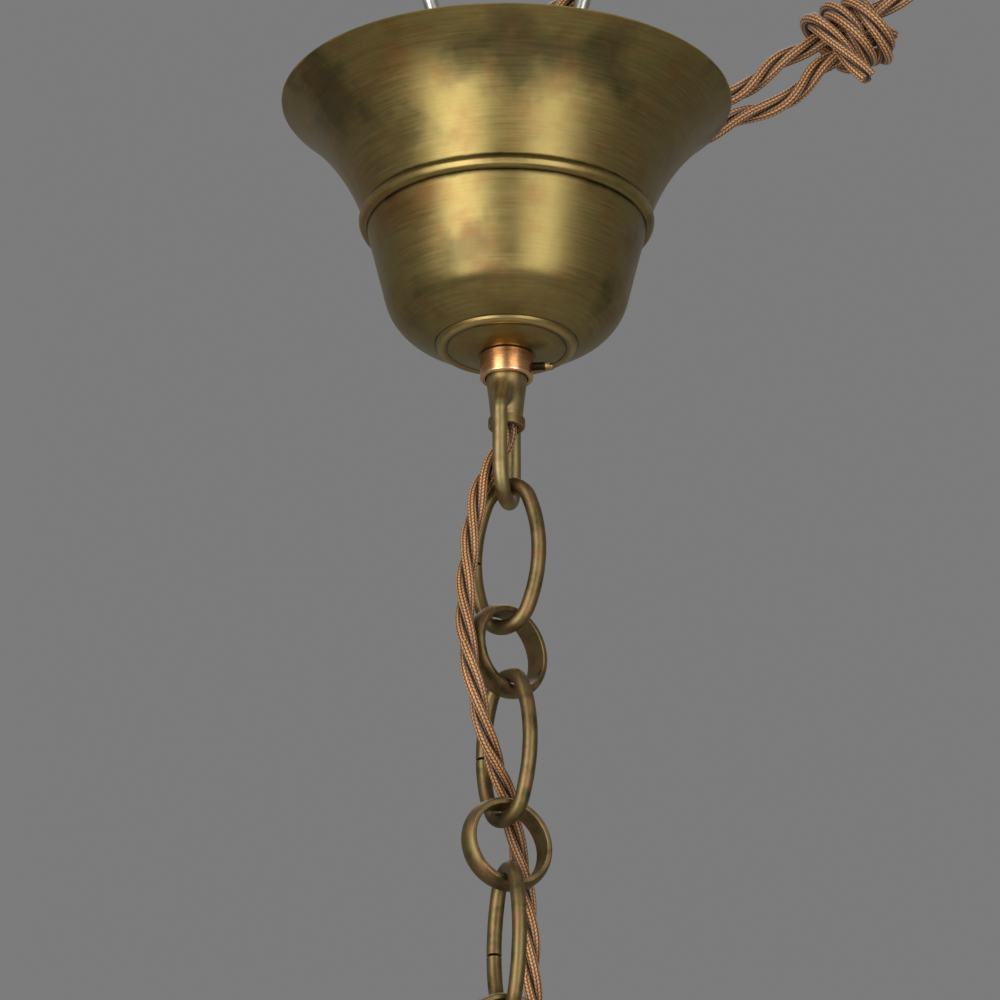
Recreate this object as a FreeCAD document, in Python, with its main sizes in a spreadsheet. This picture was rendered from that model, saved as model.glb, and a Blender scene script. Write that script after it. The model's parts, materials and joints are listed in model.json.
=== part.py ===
import FreeCAD, Part
import Sketcher
import math
import os
import re

# Ceiling suspension of a hall lantern: hanging stirrup, spun canopy, loop stem, link chain and twisted flex.
# Millimetres, +Z up. The origin is the point of the stirrup that hangs on the ceiling hook.

DRIVING_SIZES = [
    ("hook_to_plate", 72.0, "hook point down to the top of the stirrup plate"),
    ("rod_d", 4.3, "stirrup rod"),
    ("bail_r", 24.2, "centre line of the round top of the stirrup"),
    ("leg_x", 12.5, "half the spacing of the stirrup legs at the plate"),
    ("leg_rise", 5.0, "upright part of a leg above the plate"),
    ("leg_bend_r", 8.0, "bend where a leg starts to lean out"),
    ("rod_tip", 1.2, "rod end left below its nut"),
    ("plate_len", 36.0, "stirrup plate along X"),
    ("plate_w", 18.0, "stirrup plate along Y"),
    ("plate_t", 3.0, "stirrup plate thickness"),
    ("rod_nut_af", 7.0, "rod nut across flats"),
    ("rod_nut_h", 3.2, "rod nut height"),
    ("tube_r", 5.0, "threaded tube outside radius"),
    ("tube_bore_r", 4.0, "threaded tube bore radius"),
    ("tube_proud", 2.0, "tube left above its upper nut"),
    ("tube_nut_af", 14.0, "tube nut across flats"),
    ("tube_nut_h", 4.0, "tube nut height"),
    ("washer_r", 8.0, "tube washer radius"),
    ("washer_t", 1.2, "tube washer thickness"),
    ("thread_play", 0.03, "radial play of a thread"),
    ("hole_play", 0.2, "radial play of a clearance hole"),
    ("slide_play", 0.3, "radial play of the canopy on the tube"),
    ("plate_to_collar", 73.7, "top of the stirrup plate down to the top of the collar"),
    ("canopy_h", 80.7, "canopy height, base to rim"),
    ("wall", 1.2, "spun wall of the canopy"),
    ("rim_r", 65.0, "canopy rim radius"),
    ("rim_edge", 1.6, "flat of the rim"),
    ("flare_r", 80.0, "hollow curve of the flare"),
    ("flare_foot_r", 41.3, "radius at the foot of the flare"),
    ("flare_foot_h", 44.5, "height of the foot of the flare above the base"),
    ("bead_out", 1.75, "how far the bead stands out"),
    ("bowl_top_r", 40.2, "radius of the bowl under the bead"),
    ("bowl_top_h", 40.2, "height of the bowl under the bead"),
    ("bowl_foot_r", 35.06, "radius where the bowl starts to round in"),
    ("bowl_foot_h", 18.41, "height where the bowl starts to round in"),
    ("bowl_corner_r", 18.0, "round of the bowl into the dome of its base"),
    ("dome_edge_r", 27.35, "radius of the dome of the base"),
    ("dome_curve", 50.2, "curve of the dome of the base"),
    ("dome_seat", 0.35, "flat of the base left round the collar"),
    ("base_ring_r", 18.8, "pressed ring round the base"),
    ("base_ring_half", 1.5, "half the width of the pressed ring"),
    ("base_ring_out", 0.9, "how far the pressed ring stands out"),
    ("collar_r", 7.65, "collar outside radius"),
    ("collar_h", 7.6, "collar height"),
    ("collar_edge", 0.4, "chamfer on the collar"),
    ("collar_play", 0.1, "radial play of the collar on the stem head"),
    ("screw_r", 1.3, "set screw radius"),
    ("screw_out", 5.75, "set screw proud of the collar"),
    ("screw_fit", 0.05, "radial play of the set screw"),
    ("screw_gap", 0.2, "set screw tip to the stem head"),
    ("screw_slot", 0.6, "width of the slot in the set screw"),
    ("screw_slot_depth", 0.8, "depth of that slot"),
    ("screw_turn", -7.0, "direction of the set screw round the collar"),
    ("head_r", 6.15, "stem head inside the collar"),
    ("head_sink", 0.6, "stem head below the top of the collar"),
    ("head_len", 6.7, "stem head length"),
    ("socket_depth", 6.0, "depth of the tube thread in the stem head"),
    ("neck_r", 6.05, "stem just below the collar"),
    ("neck_step", 0.4, "height of the step from the head to the neck"),
    ("taper_len", 12.4, "tapered length of the stem"),
    ("foot_r", 4.5, "stem at its mouth"),
    ("bush_r", 5.3, "flange of a mouth bush"),
    ("bush_h", 2.8, "height of the flange of a mouth bush"),
    ("bush_spigot_r", 3.7, "spigot of a mouth bush"),
    ("bush_spigot_len", 3.0, "length of the spigot of a mouth bush"),
    ("bush_round", 0.7, "rounded mouth of a bush"),
    ("bow_d", 4.4, "wire of the stem loop and the lantern loop"),
    ("bow_half", 8.6, "centre line half width of a loop"),
    ("bow_reach", 27.5, "mouth of the stem to the outside of its loop"),
    ("bow_root_x", 2.6, "centre line of a loop where it leaves its stem"),
    ("bow_root_h", 8.8, "height of that place behind the mouth"),
    ("bow_shoulder_h", 0.8, "height of the loop's shoulder behind the mouth"),
    ("bow_shoulder_r", 5.0, "bend of the loop's shoulder"),
    ("bow_turn", 77.0, "direction of the stem loop's plane from +X"),
    ("oval_len", 48.2, "oval link outside length"),
    ("oval_w", 26.3, "oval link outside width"),
    ("wire_d", 4.3, "oval link wire"),
    ("oval_end_r", 8.0, "centre line of the oval's round ends"),
    ("oval_seam", 0.25, "butt seam in an oval link"),
    ("oval_seam_drop", 0.5, "seam below the middle of the link"),
    ("oval_turn_1", -34.0, "direction of the first oval's plane from +X"),
    ("oval_turn_2", -53.0, "direction of the second oval's plane from +X"),
    ("oval_turn_3", -71.0, "direction of the third oval's plane from +X"),
    ("ring_r", 13.9, "ring link outside radius"),
    ("band_t", 2.6, "ring link thickness at its crown"),
    ("band_edge", 1.3, "ring link thickness at its edges"),
    ("band_w", 6.8, "ring link width"),
    ("ring_turn_1", 43.0, "direction of the first ring's plane from +X"),
    ("ring_turn_2", 28.0, "direction of the second ring's plane from +X"),
    ("ring_turn_3", 20.0, "direction of the third ring's plane from +X"),
    ("link_gap", 0.3, "play between links that hang in each other"),
    ("lantern_turn", -70.0, "direction of the lantern loop's plane from +X"),
    ("boss_r", 7.6, "lantern boss radius"),
    ("boss_h", 12.0, "straight part of the lantern boss"),
    ("boss_taper", 9.0, "tapered part of the lantern boss"),
    ("boss_socket", 10.0, "depth of the tube thread in the lantern boss"),
    ("boss_edge", 0.6, "chamfer under the lantern boss"),
    ("flex_d", 5.8, "twisted flex, all its cores together"),
    ("flex_play", 0.25, "radial play of the flex in a bush"),
]

doc = FreeCAD.newDocument("HallLanternSuspension")
sheet = doc.addObject("Spreadsheet::Sheet", "Sizes")
for row, (alias, size, note) in enumerate(DRIVING_SIZES, 1):
    sheet.set("A%d" % row, alias)
    sheet.set("B%d" % row, str(size))
    sheet.set("C%d" % row, note)
    sheet.setAlias("B%d" % row, alias)
doc.recompute()

UP = FreeCAD.Vector(0, 0, 1)
LINK_NUMBERS = (1, 2, 3)
NODES = []


def bound(text):
    # An expression in the words of the sheet, made readable to the other objects.
    return re.sub(r"\b([a-z][a-z_0-9]*)\b(?!\s*\()", r"Sizes.\1", text)


def number(text):
    return float(sheet.evalExpression(bound(text)))


def point(across, deep, up):
    return FreeCAD.Vector(across, deep, up)


def node(item, label):
    item.Label = label
    NODES.append(item)
    return item


# The legs keep their nuts clear of the washer. The collar passes over the wider of the head and the neck.
LEG_X = "max(leg_x; washer_r + rod_nut_af / sqrt(3) + hole_play)"
COLLAR_BORE = "(max(head_r; neck_r) + collar_play)"

# Levels, all below the hook point.
PLATE_TOP = "(-hook_to_plate)"
PLATE_LOW = "(%s - plate_t)" % PLATE_TOP
TUBE_TOP = "(%s + washer_t + tube_nut_h + tube_proud)" % PLATE_TOP
COLLAR_TOP = "(%s - plate_to_collar)" % PLATE_TOP
COLLAR_LOW = "(%s - collar_h)" % COLLAR_TOP
STEM_TOP = "(%s - head_sink)" % COLLAR_TOP
STEM_LEN = "(head_len + neck_step + taper_len)"
STEM_FOOT = "(%s - %s)" % (STEM_TOP, STEM_LEN)
BOW_LOW = "(%s - bow_reach)" % STEM_FOOT

# The inside of an oval's round end is a curve, and the flat band of a ring seats on it as a chord.
OVAL_IN_R = "(oval_end_r - wire_d / 2)"
BOW_IN_R = "(bow_half - bow_d / 2)"
OVAL_IN_LEN = "(oval_len - 2 * wire_d)"
RING_IN_R = "(ring_r - band_t)"


def seat_rise(inside_r, turn, ring_turn):
    # How far the band of a ring stands off the round end that it crosses at these turns.
    half_chord = "(band_w / 2 / sin(abs(%s - %s))^2)" % (ring_turn, turn)
    return "(%s - sqrt(%s^2 - %s^2) + link_gap)" % (inside_r, inside_r, half_chord)


# Document helpers.
def origin_plane(body, role):
    return next(plane for plane in body.Origin.OriginFeatures if plane.Role == role)


def arc_on(sketch, start, end, radius):
    # A positive radius turns left on the way from start to end.
    chord = end - start
    aside = point(-chord.y, chord.x, 0)
    aside.normalize()
    reach = math.sqrt(max(radius * radius - chord.Length ** 2 / 4, 0))
    centre = (start + end) * 0.5 + aside * math.copysign(reach, radius)
    first = math.atan2(start.y - centre.y, start.x - centre.x)
    last = math.atan2(end.y - centre.y, end.x - centre.x)
    circle = Part.Circle(centre, UP, abs(radius))
    if radius > 0:
        return sketch.addGeometry(Part.ArcOfCircle(circle, first, last), False), 1, 2
    return sketch.addGeometry(Part.ArcOfCircle(circle, last, first), False), 2, 1


def outline(body, name, corners):
    # A closed outline on the body's XZ plane.
    # A corner is (across, up), or (across, up, radius) where an arc leaves it.
    sketch = body.newObject("Sketcher::SketchObject", name)
    sketch.AttachmentSupport = (origin_plane(body, "XZ_Plane"), [""])
    sketch.MapMode = "FlatFace"
    places = [point(number(corner[0]), number(corner[1]), 0) for corner in corners]
    edges = []
    for index, corner in enumerate(corners):
        start = places[index]
        end = places[(index + 1) % len(places)]
        if len(corner) == 2:
            edges.append((sketch.addGeometry(Part.LineSegment(start, end), False), 1, 2))
            continue
        edges.append(arc_on(sketch, start, end, number(corner[2])))
        radius = sketch.addConstraint(Sketcher.Constraint("Radius", edges[-1][0], abs(number(corner[2]))))
        sketch.setExpression("Constraints[%d]" % radius, bound("abs(%s)" % corner[2]))
    for index, corner in enumerate(corners):
        edge, head, tail = edges[index]
        before = edges[index - 1]
        sketch.addConstraint(Sketcher.Constraint("Coincident", before[0], before[2], edge, head))
        for kind, text in (("DistanceX", corner[0]), ("DistanceY", corner[1])):
            size = sketch.addConstraint(Sketcher.Constraint(kind, -1, 1, edge, head, number(text)))
            sketch.setExpression("Constraints[%d]" % size, bound(text))
    return sketch


def turned(name, corners, level="0", axis="V_Axis"):
    body = doc.addObject("PartDesign::Body", name)
    sketch = outline(body, name + "_outline", corners)
    turn = body.newObject("PartDesign::Revolution", name + "_turn")
    turn.Profile = sketch
    turn.ReferenceAxis = (sketch, [axis])
    turn.Angle = 360
    body.setExpression("Placement.Base.z", bound(level))
    return body


def cylinder(name, radius, height, level, across="0"):
    item = doc.addObject("Part::Cylinder", name)
    item.setExpression("Radius", bound(radius))
    item.setExpression("Height", bound(height))
    item.setExpression("Placement.Base.z", bound(level))
    item.setExpression("Placement.Base.x", bound(across))
    return item


def box(name, length, width, height, across, deep, level):
    item = doc.addObject("Part::Box", name)
    for size, text in (("Length", length), ("Width", width), ("Height", height)):
        item.setExpression(size, bound(text))
    for axis, text in (("x", across), ("y", deep), ("z", level)):
        item.setExpression("Placement.Base." + axis, bound(text))
    return item


def cut(name, base, tools):
    item = doc.addObject("Part::Cut", name)
    item.Base = base
    item.Tool = tools[0]
    if len(tools) > 1:
        item.Tool = doc.addObject("Part::MultiFuse", name + "_tools")
        item.Tool.Shapes = tools
    return item


def fuse(name, shapes):
    item = doc.addObject("Part::MultiFuse", name)
    item.Shapes = shapes
    return item


def turn_about_z(item, angle, level="0"):
    item.Placement = FreeCAD.Placement(point(0, 0, 0), FreeCAD.Rotation(UP, 1))
    item.setExpression("Placement.Rotation.Angle", bound(angle))
    item.setExpression("Placement.Base.z", bound(level))
    return item


def feature(name, shape):
    item = doc.addObject("Part::Feature", name)
    item.Shape = shape
    return item


def arc_edge(start, middle, end):
    return Part.Arc(start, middle, end).toShape()


def line_edge(start, end):
    return Part.LineSegment(start, end).toShape()


def wire_solid(edges, radius):
    # A round wire along the edges, and the difference between its volume and its section times its length.
    path = Part.Wire(edges)
    start = path.OrderedEdges[0]
    first = start.FirstParameter
    section = Part.Wire(Part.makeCircle(radius, start.valueAt(first), start.tangentAt(first)))
    solid = path.makePipeShell([section], True, False)
    return solid, solid.Volume / (math.pi * radius ** 2 * path.Length) - 1


def half_turn_at(before, corner, after):
    return (math.pi - (before - corner).getAngle(after - corner)) / 2


def rounded_run(points, radii):
    # Straight runs joined by tangent arcs of the given radii, one for each inner point.
    edges = []
    here = points[0]
    for before, corner, after, radius in zip(points, points[1:], points[2:], radii):
        back = before - corner
        ahead = after - corner
        half_turn = half_turn_at(before, corner, after)
        back.normalize()
        ahead.normalize()
        trim = radius * math.tan(half_turn)
        inward = back + ahead
        inward.normalize()
        top = corner + inward * (radius / math.cos(half_turn) - radius)
        edges.append(line_edge(here, corner + back * trim))
        edges.append(arc_edge(corner + back * trim, top, corner + ahead * trim))
        here = corner + ahead * trim
    edges.append(line_edge(here, points[-1]))
    return edges


# Hanging stirrup: a rod bent to a pear-shaped bail, its legs held in a plate by nuts.
def stirrup():
    radius = number("bail_r")
    leg_x = number(LEG_X)
    centre = point(0, 0, number("rod_d / 2") - radius)
    foot = number("%s - rod_nut_h - rod_tip" % PLATE_LOW)
    knee = point(leg_x, 0, number("%s + leg_rise" % PLATE_TOP))
    to_centre = centre - knee
    lean = math.asin(radius / to_centre.Length) - math.atan2(leg_x, to_centre.z)
    touch = knee + point(math.sin(lean), 0, math.cos(lean)) * math.sqrt(to_centre.Length ** 2 - radius ** 2)
    right = [point(leg_x, 0, foot), knee, touch]
    left = [point(-place.x, 0, place.z) for place in reversed(right)]
    right_leg = rounded_run(right, [number("leg_bend_r")])
    left_leg = rounded_run(left, [number("leg_bend_r")])
    crown = arc_edge(touch, centre + UP * radius, left[0])
    solid, error = wire_solid(right_leg + [crown] + left_leg, number("rod_d / 2"))
    print("stirrup: legs lean %.1f degrees, volume error %.5f" % (math.degrees(lean), error))
    node(feature("stirrup", solid), "stirrup")


def hex_nut(name, across_flats, height, bore, level, across="0"):
    prism = doc.addObject("Part::Prism", name + "_hex")
    prism.Polygon = 6
    prism.setExpression("Circumradius", bound("%s / sqrt(3)" % across_flats))
    prism.setExpression("Height", bound(height))
    hole = cylinder(name + "_hole", bore, height, "0")
    nut = cut(name, prism, [hole])
    turn_about_z(nut, "30", level)
    nut.setExpression("Placement.Base.x", bound(across))
    return nut


def stirrup_plate():
    corner = ("-plate_len / 2", "-plate_w / 2", PLATE_LOW)
    blank = box("plate_blank", "plate_len", "plate_w", "plate_t", *corner)
    holes = [cylinder("plate_tube_hole", "tube_r + hole_play", "plate_t", PLATE_LOW)]
    for side in ("", "-"):
        name = "plate_rod_hole_%d" % len(holes)
        holes.append(cylinder(name, "rod_d / 2 + hole_play", "plate_t", PLATE_LOW, side + LEG_X))
    node(cut("stirrup_plate", blank, holes), "stirrup_plate")


def rod_nuts():
    nuts = []
    for side in ("", "-"):
        for level in (PLATE_TOP, "%s - rod_nut_h" % PLATE_LOW):
            name = "rod_nut_%d" % (len(nuts) + 1)
            bore = "rod_d / 2 + thread_play"
            nuts.append(hex_nut(name, "rod_nut_af", "rod_nut_h", bore, level, side + LEG_X))
    group = doc.addObject("Part::Compound", "rod_nuts")
    group.Links = nuts
    node(group, "rod_nuts")


# Threaded tube through the plate, with its nuts, its washer and the bush at its upper end.
def tube_set():
    tube_low = "(%s - socket_depth)" % STEM_TOP
    tube_len = "(%s - %s)" % (TUBE_TOP, tube_low)
    tube = [("tube_bore_r", "0"), ("tube_r", "0"), ("tube_r", tube_len), ("tube_bore_r", tube_len)]
    node(turned("stem_tube", tube, tube_low), "stem_tube")
    hole = "tube_r + hole_play"
    washer = [(hole, "0"), ("washer_r", "0"), ("washer_r", "washer_t"), (hole, "washer_t")]
    node(turned("tube_washer", washer, PLATE_TOP), "tube_washer")
    bore = "tube_r + thread_play"
    upper = hex_nut("tube_nut_upper", "tube_nut_af", "tube_nut_h", bore, "%s + washer_t" % PLATE_TOP)
    lower = hex_nut("tube_nut_lower", "tube_nut_af", "tube_nut_h", bore, "%s - tube_nut_h" % PLATE_LOW)
    node(upper, "tube_nut_upper")
    node(lower, "tube_nut_lower")
    node(bush("tube_bush", TUBE_TOP, "tube_bore_r", True), "tube_bush")


def bush(name, mouth, spigot_r, opens_up):
    # A flanged bush in the mouth of a tube: flange outside, spigot inside and a rounded bore.
    hole = "flex_d / 2 + flex_play"
    spigot = "(%s - thread_play)" % spigot_r
    if opens_up:
        corners = [
            (hole, "0"), (spigot, "0"), (spigot, "bush_spigot_len"), ("bush_r", "bush_spigot_len"),
            ("bush_r", "bush_spigot_len + bush_h - bush_round", "bush_round"),
            ("bush_r - bush_round", "bush_spigot_len + bush_h"),
            ("%s + bush_round" % hole, "bush_spigot_len + bush_h", "bush_round"),
            (hole, "bush_spigot_len + bush_h - bush_round")]
        return turned(name, corners, "%s - bush_spigot_len" % mouth)
    corners = [
        (hole, "bush_round", "bush_round"), ("%s + bush_round" % hole, "0"),
        ("bush_r - bush_round", "0", "bush_round"), ("bush_r", "bush_round"),
        ("bush_r", "bush_h"), (spigot, "bush_h"), (spigot, "bush_h + bush_spigot_len"),
        (hole, "bush_h + bush_spigot_len")]
    return turned(name, corners, "%s - bush_h" % mouth)


def bulge_r(across, up, out):
    # Radius of an arc over this chord that stands out from it by so much.
    return "(((%s)^2 + (%s)^2) / 8 / %s + %s / 2)" % (across, up, out, out)


# Spun canopy, from the hole in its base up the outside to the rim and down the inside.
def canopy():
    hole = "(tube_r + slide_play)"
    seat = "(collar_r + dome_seat)"
    ring_in = "(base_ring_r - base_ring_half)"
    ring_out = "(base_ring_r + base_ring_half)"
    dome_mid = "sqrt(dome_curve^2 - %s^2)" % seat
    inner = "(1 - wall / dome_curve)"

    def dome_h(radius):
        return "(%s - sqrt(dome_curve^2 - %s^2))" % (dome_mid, radius)

    def inner_h(radius):
        return "(%s - sqrt(dome_curve^2 - %s^2) * %s)" % (dome_mid, radius, inner)

    ring_rise = "%s - %s" % (dome_h(ring_out), dome_h(ring_in))
    ring_curve = bulge_r("2 * base_ring_half", ring_rise, "base_ring_out")
    bead_curve = bulge_r("flare_foot_r - bowl_top_r", "flare_foot_h - bowl_top_h", "bead_out")
    node(turned("canopy", [
        (hole, "0"), (seat, "0", "dome_curve"), (ring_in, dome_h(ring_in), ring_curve),
        (ring_out, dome_h(ring_out), "dome_curve"),
        ("dome_edge_r", dome_h("dome_edge_r"), "bowl_corner_r"),
        ("bowl_foot_r", "bowl_foot_h"), ("bowl_top_r", "bowl_top_h", bead_curve),
        ("flare_foot_r", "flare_foot_h", "-flare_r"), ("rim_r", "canopy_h"),
        ("rim_r - rim_edge", "canopy_h", "flare_r + wall"), ("flare_foot_r - wall", "flare_foot_h"),
        ("bowl_top_r - wall", "bowl_top_h"),
        ("bowl_foot_r - wall", "bowl_foot_h", "-(bowl_corner_r - wall)"),
        ("dome_edge_r * " + inner, inner_h("dome_edge_r"), "-(dome_curve - wall)"),
        ("%s * %s" % (seat, inner), inner_h(seat)), (hole, inner_h(seat))], COLLAR_TOP), "canopy")


# Collar under the canopy and the set screw that holds it. Both are drawn with the screw along X.
def collar_set():
    middle = "(collar_h / 2)"
    ring = turned("collar_ring", [
        (COLLAR_BORE, "0"), ("collar_r - collar_edge", "0"), ("collar_r", "collar_edge"),
        ("collar_r", "collar_h - collar_edge"), ("collar_r - collar_edge", "collar_h"),
        (COLLAR_BORE, "collar_h")])
    hole = cylinder("collar_hole", "screw_r + screw_fit", "collar_r", middle)
    hole.Placement.Rotation = FreeCAD.Rotation(point(0, 1, 0), 90)
    node(turn_about_z(cut("canopy_collar", ring, [hole]), "screw_turn", COLLAR_LOW), "canopy_collar")
    tip = "(head_r + screw_gap)"
    shank = cylinder("screw_shank", "screw_r", "collar_r + screw_out - %s" % tip, middle, tip)
    shank.Placement.Rotation = FreeCAD.Rotation(point(0, 1, 0), 90)
    slot = box("screw_cut", "screw_slot_depth", "2 * screw_r", "screw_slot",
               "collar_r + screw_out - screw_slot_depth", "-screw_r", "%s - screw_slot / 2" % middle)
    node(turn_about_z(cut("collar_screw", shank, [slot]), "screw_turn", COLLAR_LOW), "collar_screw")


# A loop: shoulders out of a stem, two legs and a round end. It points down from its mouth at level 0.
def bow(name, sign):
    half = number("bow_half")
    radius = number("bow_d / 2")
    end_centre = number("bow_reach") - radius - half
    root = point(number("bow_root_x"), 0, -number("bow_root_h"))
    shoulder = point(half, 0, -number("bow_shoulder_h"))
    turn_in = point(half, 0, end_centre)
    places = [point(place.x, 0, -sign * place.z) for place in (root, shoulder, turn_in)]
    left = [point(-place.x, 0, place.z) for place in reversed(places)]
    right_leg = rounded_run(places, [number("bow_shoulder_r")])
    left_leg = rounded_run(left, [number("bow_shoulder_r")])
    end = arc_edge(places[-1], point(0, 0, -sign * (end_centre + half)), left[0])
    solid, error = wire_solid(right_leg + [end] + left_leg, radius)
    print("%s: volume error %.5f" % (name, error))
    return feature(name, solid)


def stem_bore(name, low, high):
    return cylinder(name, "flex_d / 2 + 2 * flex_play", "%s - %s" % (high, low), low)


# Loop stem under the collar: threaded head, hollow taper and the loop that the chain hangs in.
def loop_stem():
    body = turned("stem_body", [
        ("flex_d / 2", "0"), ("foot_r", "0"), ("neck_r", "taper_len"), ("head_r", "taper_len + neck_step"),
        ("head_r", STEM_LEN), ("flex_d / 2", STEM_LEN)])
    solid = fuse("stem_solid", [body, bow("stem_bow", 1)])
    bores = [
        stem_bore("stem_bore", "0", STEM_LEN),
        cylinder("stem_socket", "tube_r + thread_play", "socket_depth", "%s - socket_depth" % STEM_LEN),
        cylinder("stem_seat", "bush_spigot_r", "bush_spigot_len", "0")]
    node(turn_about_z(cut("loop_stem", solid, bores), "bow_turn", STEM_FOOT), "loop_stem")
    node(bush("stem_bush", STEM_FOOT, "bush_spigot_r", False), "stem_bush")


# Oval link: a wire bent round four arcs, with a butt seam in one side.
def oval_link(number_of_link, level):
    name = "oval_link_%d" % number_of_link
    long_half = "(oval_len / 2 - wire_d / 2)"
    short_half = "(oval_w / 2 - wire_d / 2)"
    end_centre = "(%s - oval_end_r)" % long_half
    spread = "(%s - oval_end_r)" % short_half
    side_r = "((%s^2 + %s^2 - oval_end_r^2) / (2 * %s))" % (end_centre, short_half, spread)
    join_x = "(oval_end_r * (%s - %s) / (%s - oval_end_r))" % (side_r, short_half, side_r)
    join_z = "(%s * %s / (%s - oval_end_r))" % (end_centre, side_r, side_r)
    body = doc.addObject("PartDesign::Body", name + "_wire")
    spine = outline(body, name + "_line", [
        (join_x, join_z, "oval_end_r"), ("-" + join_x, join_z, side_r),
        ("-" + join_x, "-" + join_z, "oval_end_r"), (join_x, "-" + join_z, side_r)])
    section = body.newObject("Sketcher::SketchObject", name + "_section")
    section.AttachmentSupport = (origin_plane(body, "XY_Plane"), [""])
    section.MapMode = "FlatFace"
    section.addGeometry(Part.Circle(point(number(short_half), 0, 0), UP, number("wire_d / 2")), False)
    radius = section.addConstraint(Sketcher.Constraint("Radius", 0, number("wire_d / 2")))
    section.setExpression("Constraints[%d]" % radius, bound("wire_d / 2"))
    reach = section.addConstraint(Sketcher.Constraint("DistanceX", -1, 1, 0, 3, number(short_half)))
    section.setExpression("Constraints[%d]" % reach, bound(short_half))
    section.addConstraint(Sketcher.Constraint("PointOnObject", 0, 3, -1))
    pipe = body.newObject("PartDesign::AdditivePipe", name + "_pipe")
    pipe.Profile = section
    pipe.Spine = spine
    seam = box(name + "_seam", "2 * wire_d", "2 * wire_d", "oval_seam",
               "-oval_w / 2 - wire_d / 2", "-wire_d", "-oval_seam_drop")
    link = cut(name, body, [seam])
    node(turn_about_z(link, "oval_turn_%d" % number_of_link, level), name)


# Ring link: a band, flat inside and domed outside, standing on edge.
def ring_link(number_of_link, level):
    name = "ring_link_%d" % number_of_link
    half = "(band_w / 2)"
    crown = "(band_t - band_edge)"
    dome_r = "((%s^2 + %s^2) / (2 * %s))" % (half, crown, crown)
    edge_r = "(%s + band_edge)" % RING_IN_R
    band = [("-" + half, RING_IN_R), (half, RING_IN_R), (half, edge_r, dome_r), ("-" + half, edge_r)]
    ring = turned(name, band, axis="H_Axis")
    turn_about_z(ring, "ring_turn_%d - 90" % number_of_link, level)
    node(ring, name)


def chain():
    # Inside of the top of each link, from the stem loop down.
    inside_top = "(%s + bow_d + link_gap)" % BOW_LOW
    for index in LINK_NUMBERS:
        ring_turn = "ring_turn_%d" % index
        oval_link(index, "%s - %s / 2" % (inside_top, OVAL_IN_LEN))
        rise = seat_rise(OVAL_IN_R, "oval_turn_%d" % index, ring_turn)
        ring_top = "(%s - %s + %s)" % (inside_top, OVAL_IN_LEN, rise)
        ring_link(index, "%s - %s" % (ring_top, RING_IN_R))
        ring_floor = "(%s - 2 * %s)" % (ring_top, RING_IN_R)
        if index < LINK_NUMBERS[-1]:
            rise = seat_rise(OVAL_IN_R, "oval_turn_%d" % (index + 1), ring_turn)
        else:
            rise = seat_rise(BOW_IN_R, "lantern_turn", ring_turn)
        inside_top = "(%s + %s)" % (ring_floor, rise)
    return inside_top


# Lantern loop: the same loop the other way up, on a boss with a tube thread for the lantern.
def lantern_loop(inside_top):
    mouth = "(%s + bow_d - bow_reach)" % inside_top
    height = "(boss_h + boss_taper)"
    body = turned("boss_body", [
        ("flex_d / 2", "-" + height), ("boss_r - boss_edge", "-" + height),
        ("boss_r", "boss_edge - " + height), ("boss_r", "-boss_taper"), ("foot_r", "0"),
        ("flex_d / 2", "0")])
    solid = fuse("boss_solid", [body, bow("boss_bow", -1)])
    bores = [
        stem_bore("boss_bore", "-" + height, "0"),
        cylinder("boss_thread", "tube_r + thread_play", "boss_socket", "-" + height),
        cylinder("boss_seat", "bush_spigot_r", "bush_spigot_len", "-bush_spigot_len")]
    node(turn_about_z(cut("lantern_loop", solid, bores), "lantern_turn", mouth), "lantern_loop")
    node(bush("lantern_bush", mouth, "bush_spigot_r", True), "lantern_bush")
    return mouth


# Flex. Its free stretches follow points chosen by hand, and its arcs are as large as the runs allow.
ARC_SHARE = 0.45


def cord_radius(before, corner, after):
    shorter = min((before - corner).Length, (after - corner).Length)
    return ARC_SHARE * shorter / math.tan(half_turn_at(before, corner, after))


def flex_along(name, points):
    radii = [cord_radius(*three) for three in zip(points, points[1:], points[2:])]
    edges = rounded_run(points, radii)
    solid, error = wire_solid(edges, number("flex_d / 2"))
    print("%s: radii %s mm, length %.0f mm, volume error %.5f" % (
        name, " ".join("%.0f" % radius for radius in radii), sum(edge.Length for edge in edges), error))
    node(feature(name, solid), name)


def stem_flex():
    low = "(%s - bush_h)" % STEM_FOOT
    high = "(%s + bush_h)" % TUBE_TOP
    node(cylinder("stem_flex", "flex_d / 2", "%s - %s" % (high, low), low), "stem_flex")


def chain_flex(lantern_mouth):
    # From the stem's mouth, left of the first ring, through the second oval and behind the last rings.
    route = [
        (0.0, 0.0, -172.0), (-1.8, -0.8, -176.4), (-4.6, -2.0, -181.4), (-7.6, -3.4, -188.6),
        (-9.5, -5.2, -199.0), (-11.1, -7.8, -213.0), (-12.1, -11.0, -228.0), (-11.2, -13.8, -243.0),
        (-8.6, -12.6, -256.0), (-6.0, -7.8, -267.0), (-2.4, 0.2, -274.5), (0.9, 8.2, -282.0),
        (2.9, 13.2, -293.0), (5.2, 13.2, -306.0), (6.5, 10.6, -319.5), (6.9, 10.2, -332.5),
        (7.6, 12.4, -345.0), (8.0, 13.6, -356.0), (7.9, 11.8, -365.0), (6.6, 7.6, -372.0),
        (3.9, 3.6, -377.2), (1.3, 1.0, -380.4), (0.0, 0.0, -384.0)]
    start = point(0, 0, number("%s - bush_h" % STEM_FOOT))
    end = point(0, 0, number("%s + bush_h" % lantern_mouth))
    flex_along("chain_flex", [start] + [point(*place) for place in route] + [end])


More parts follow.
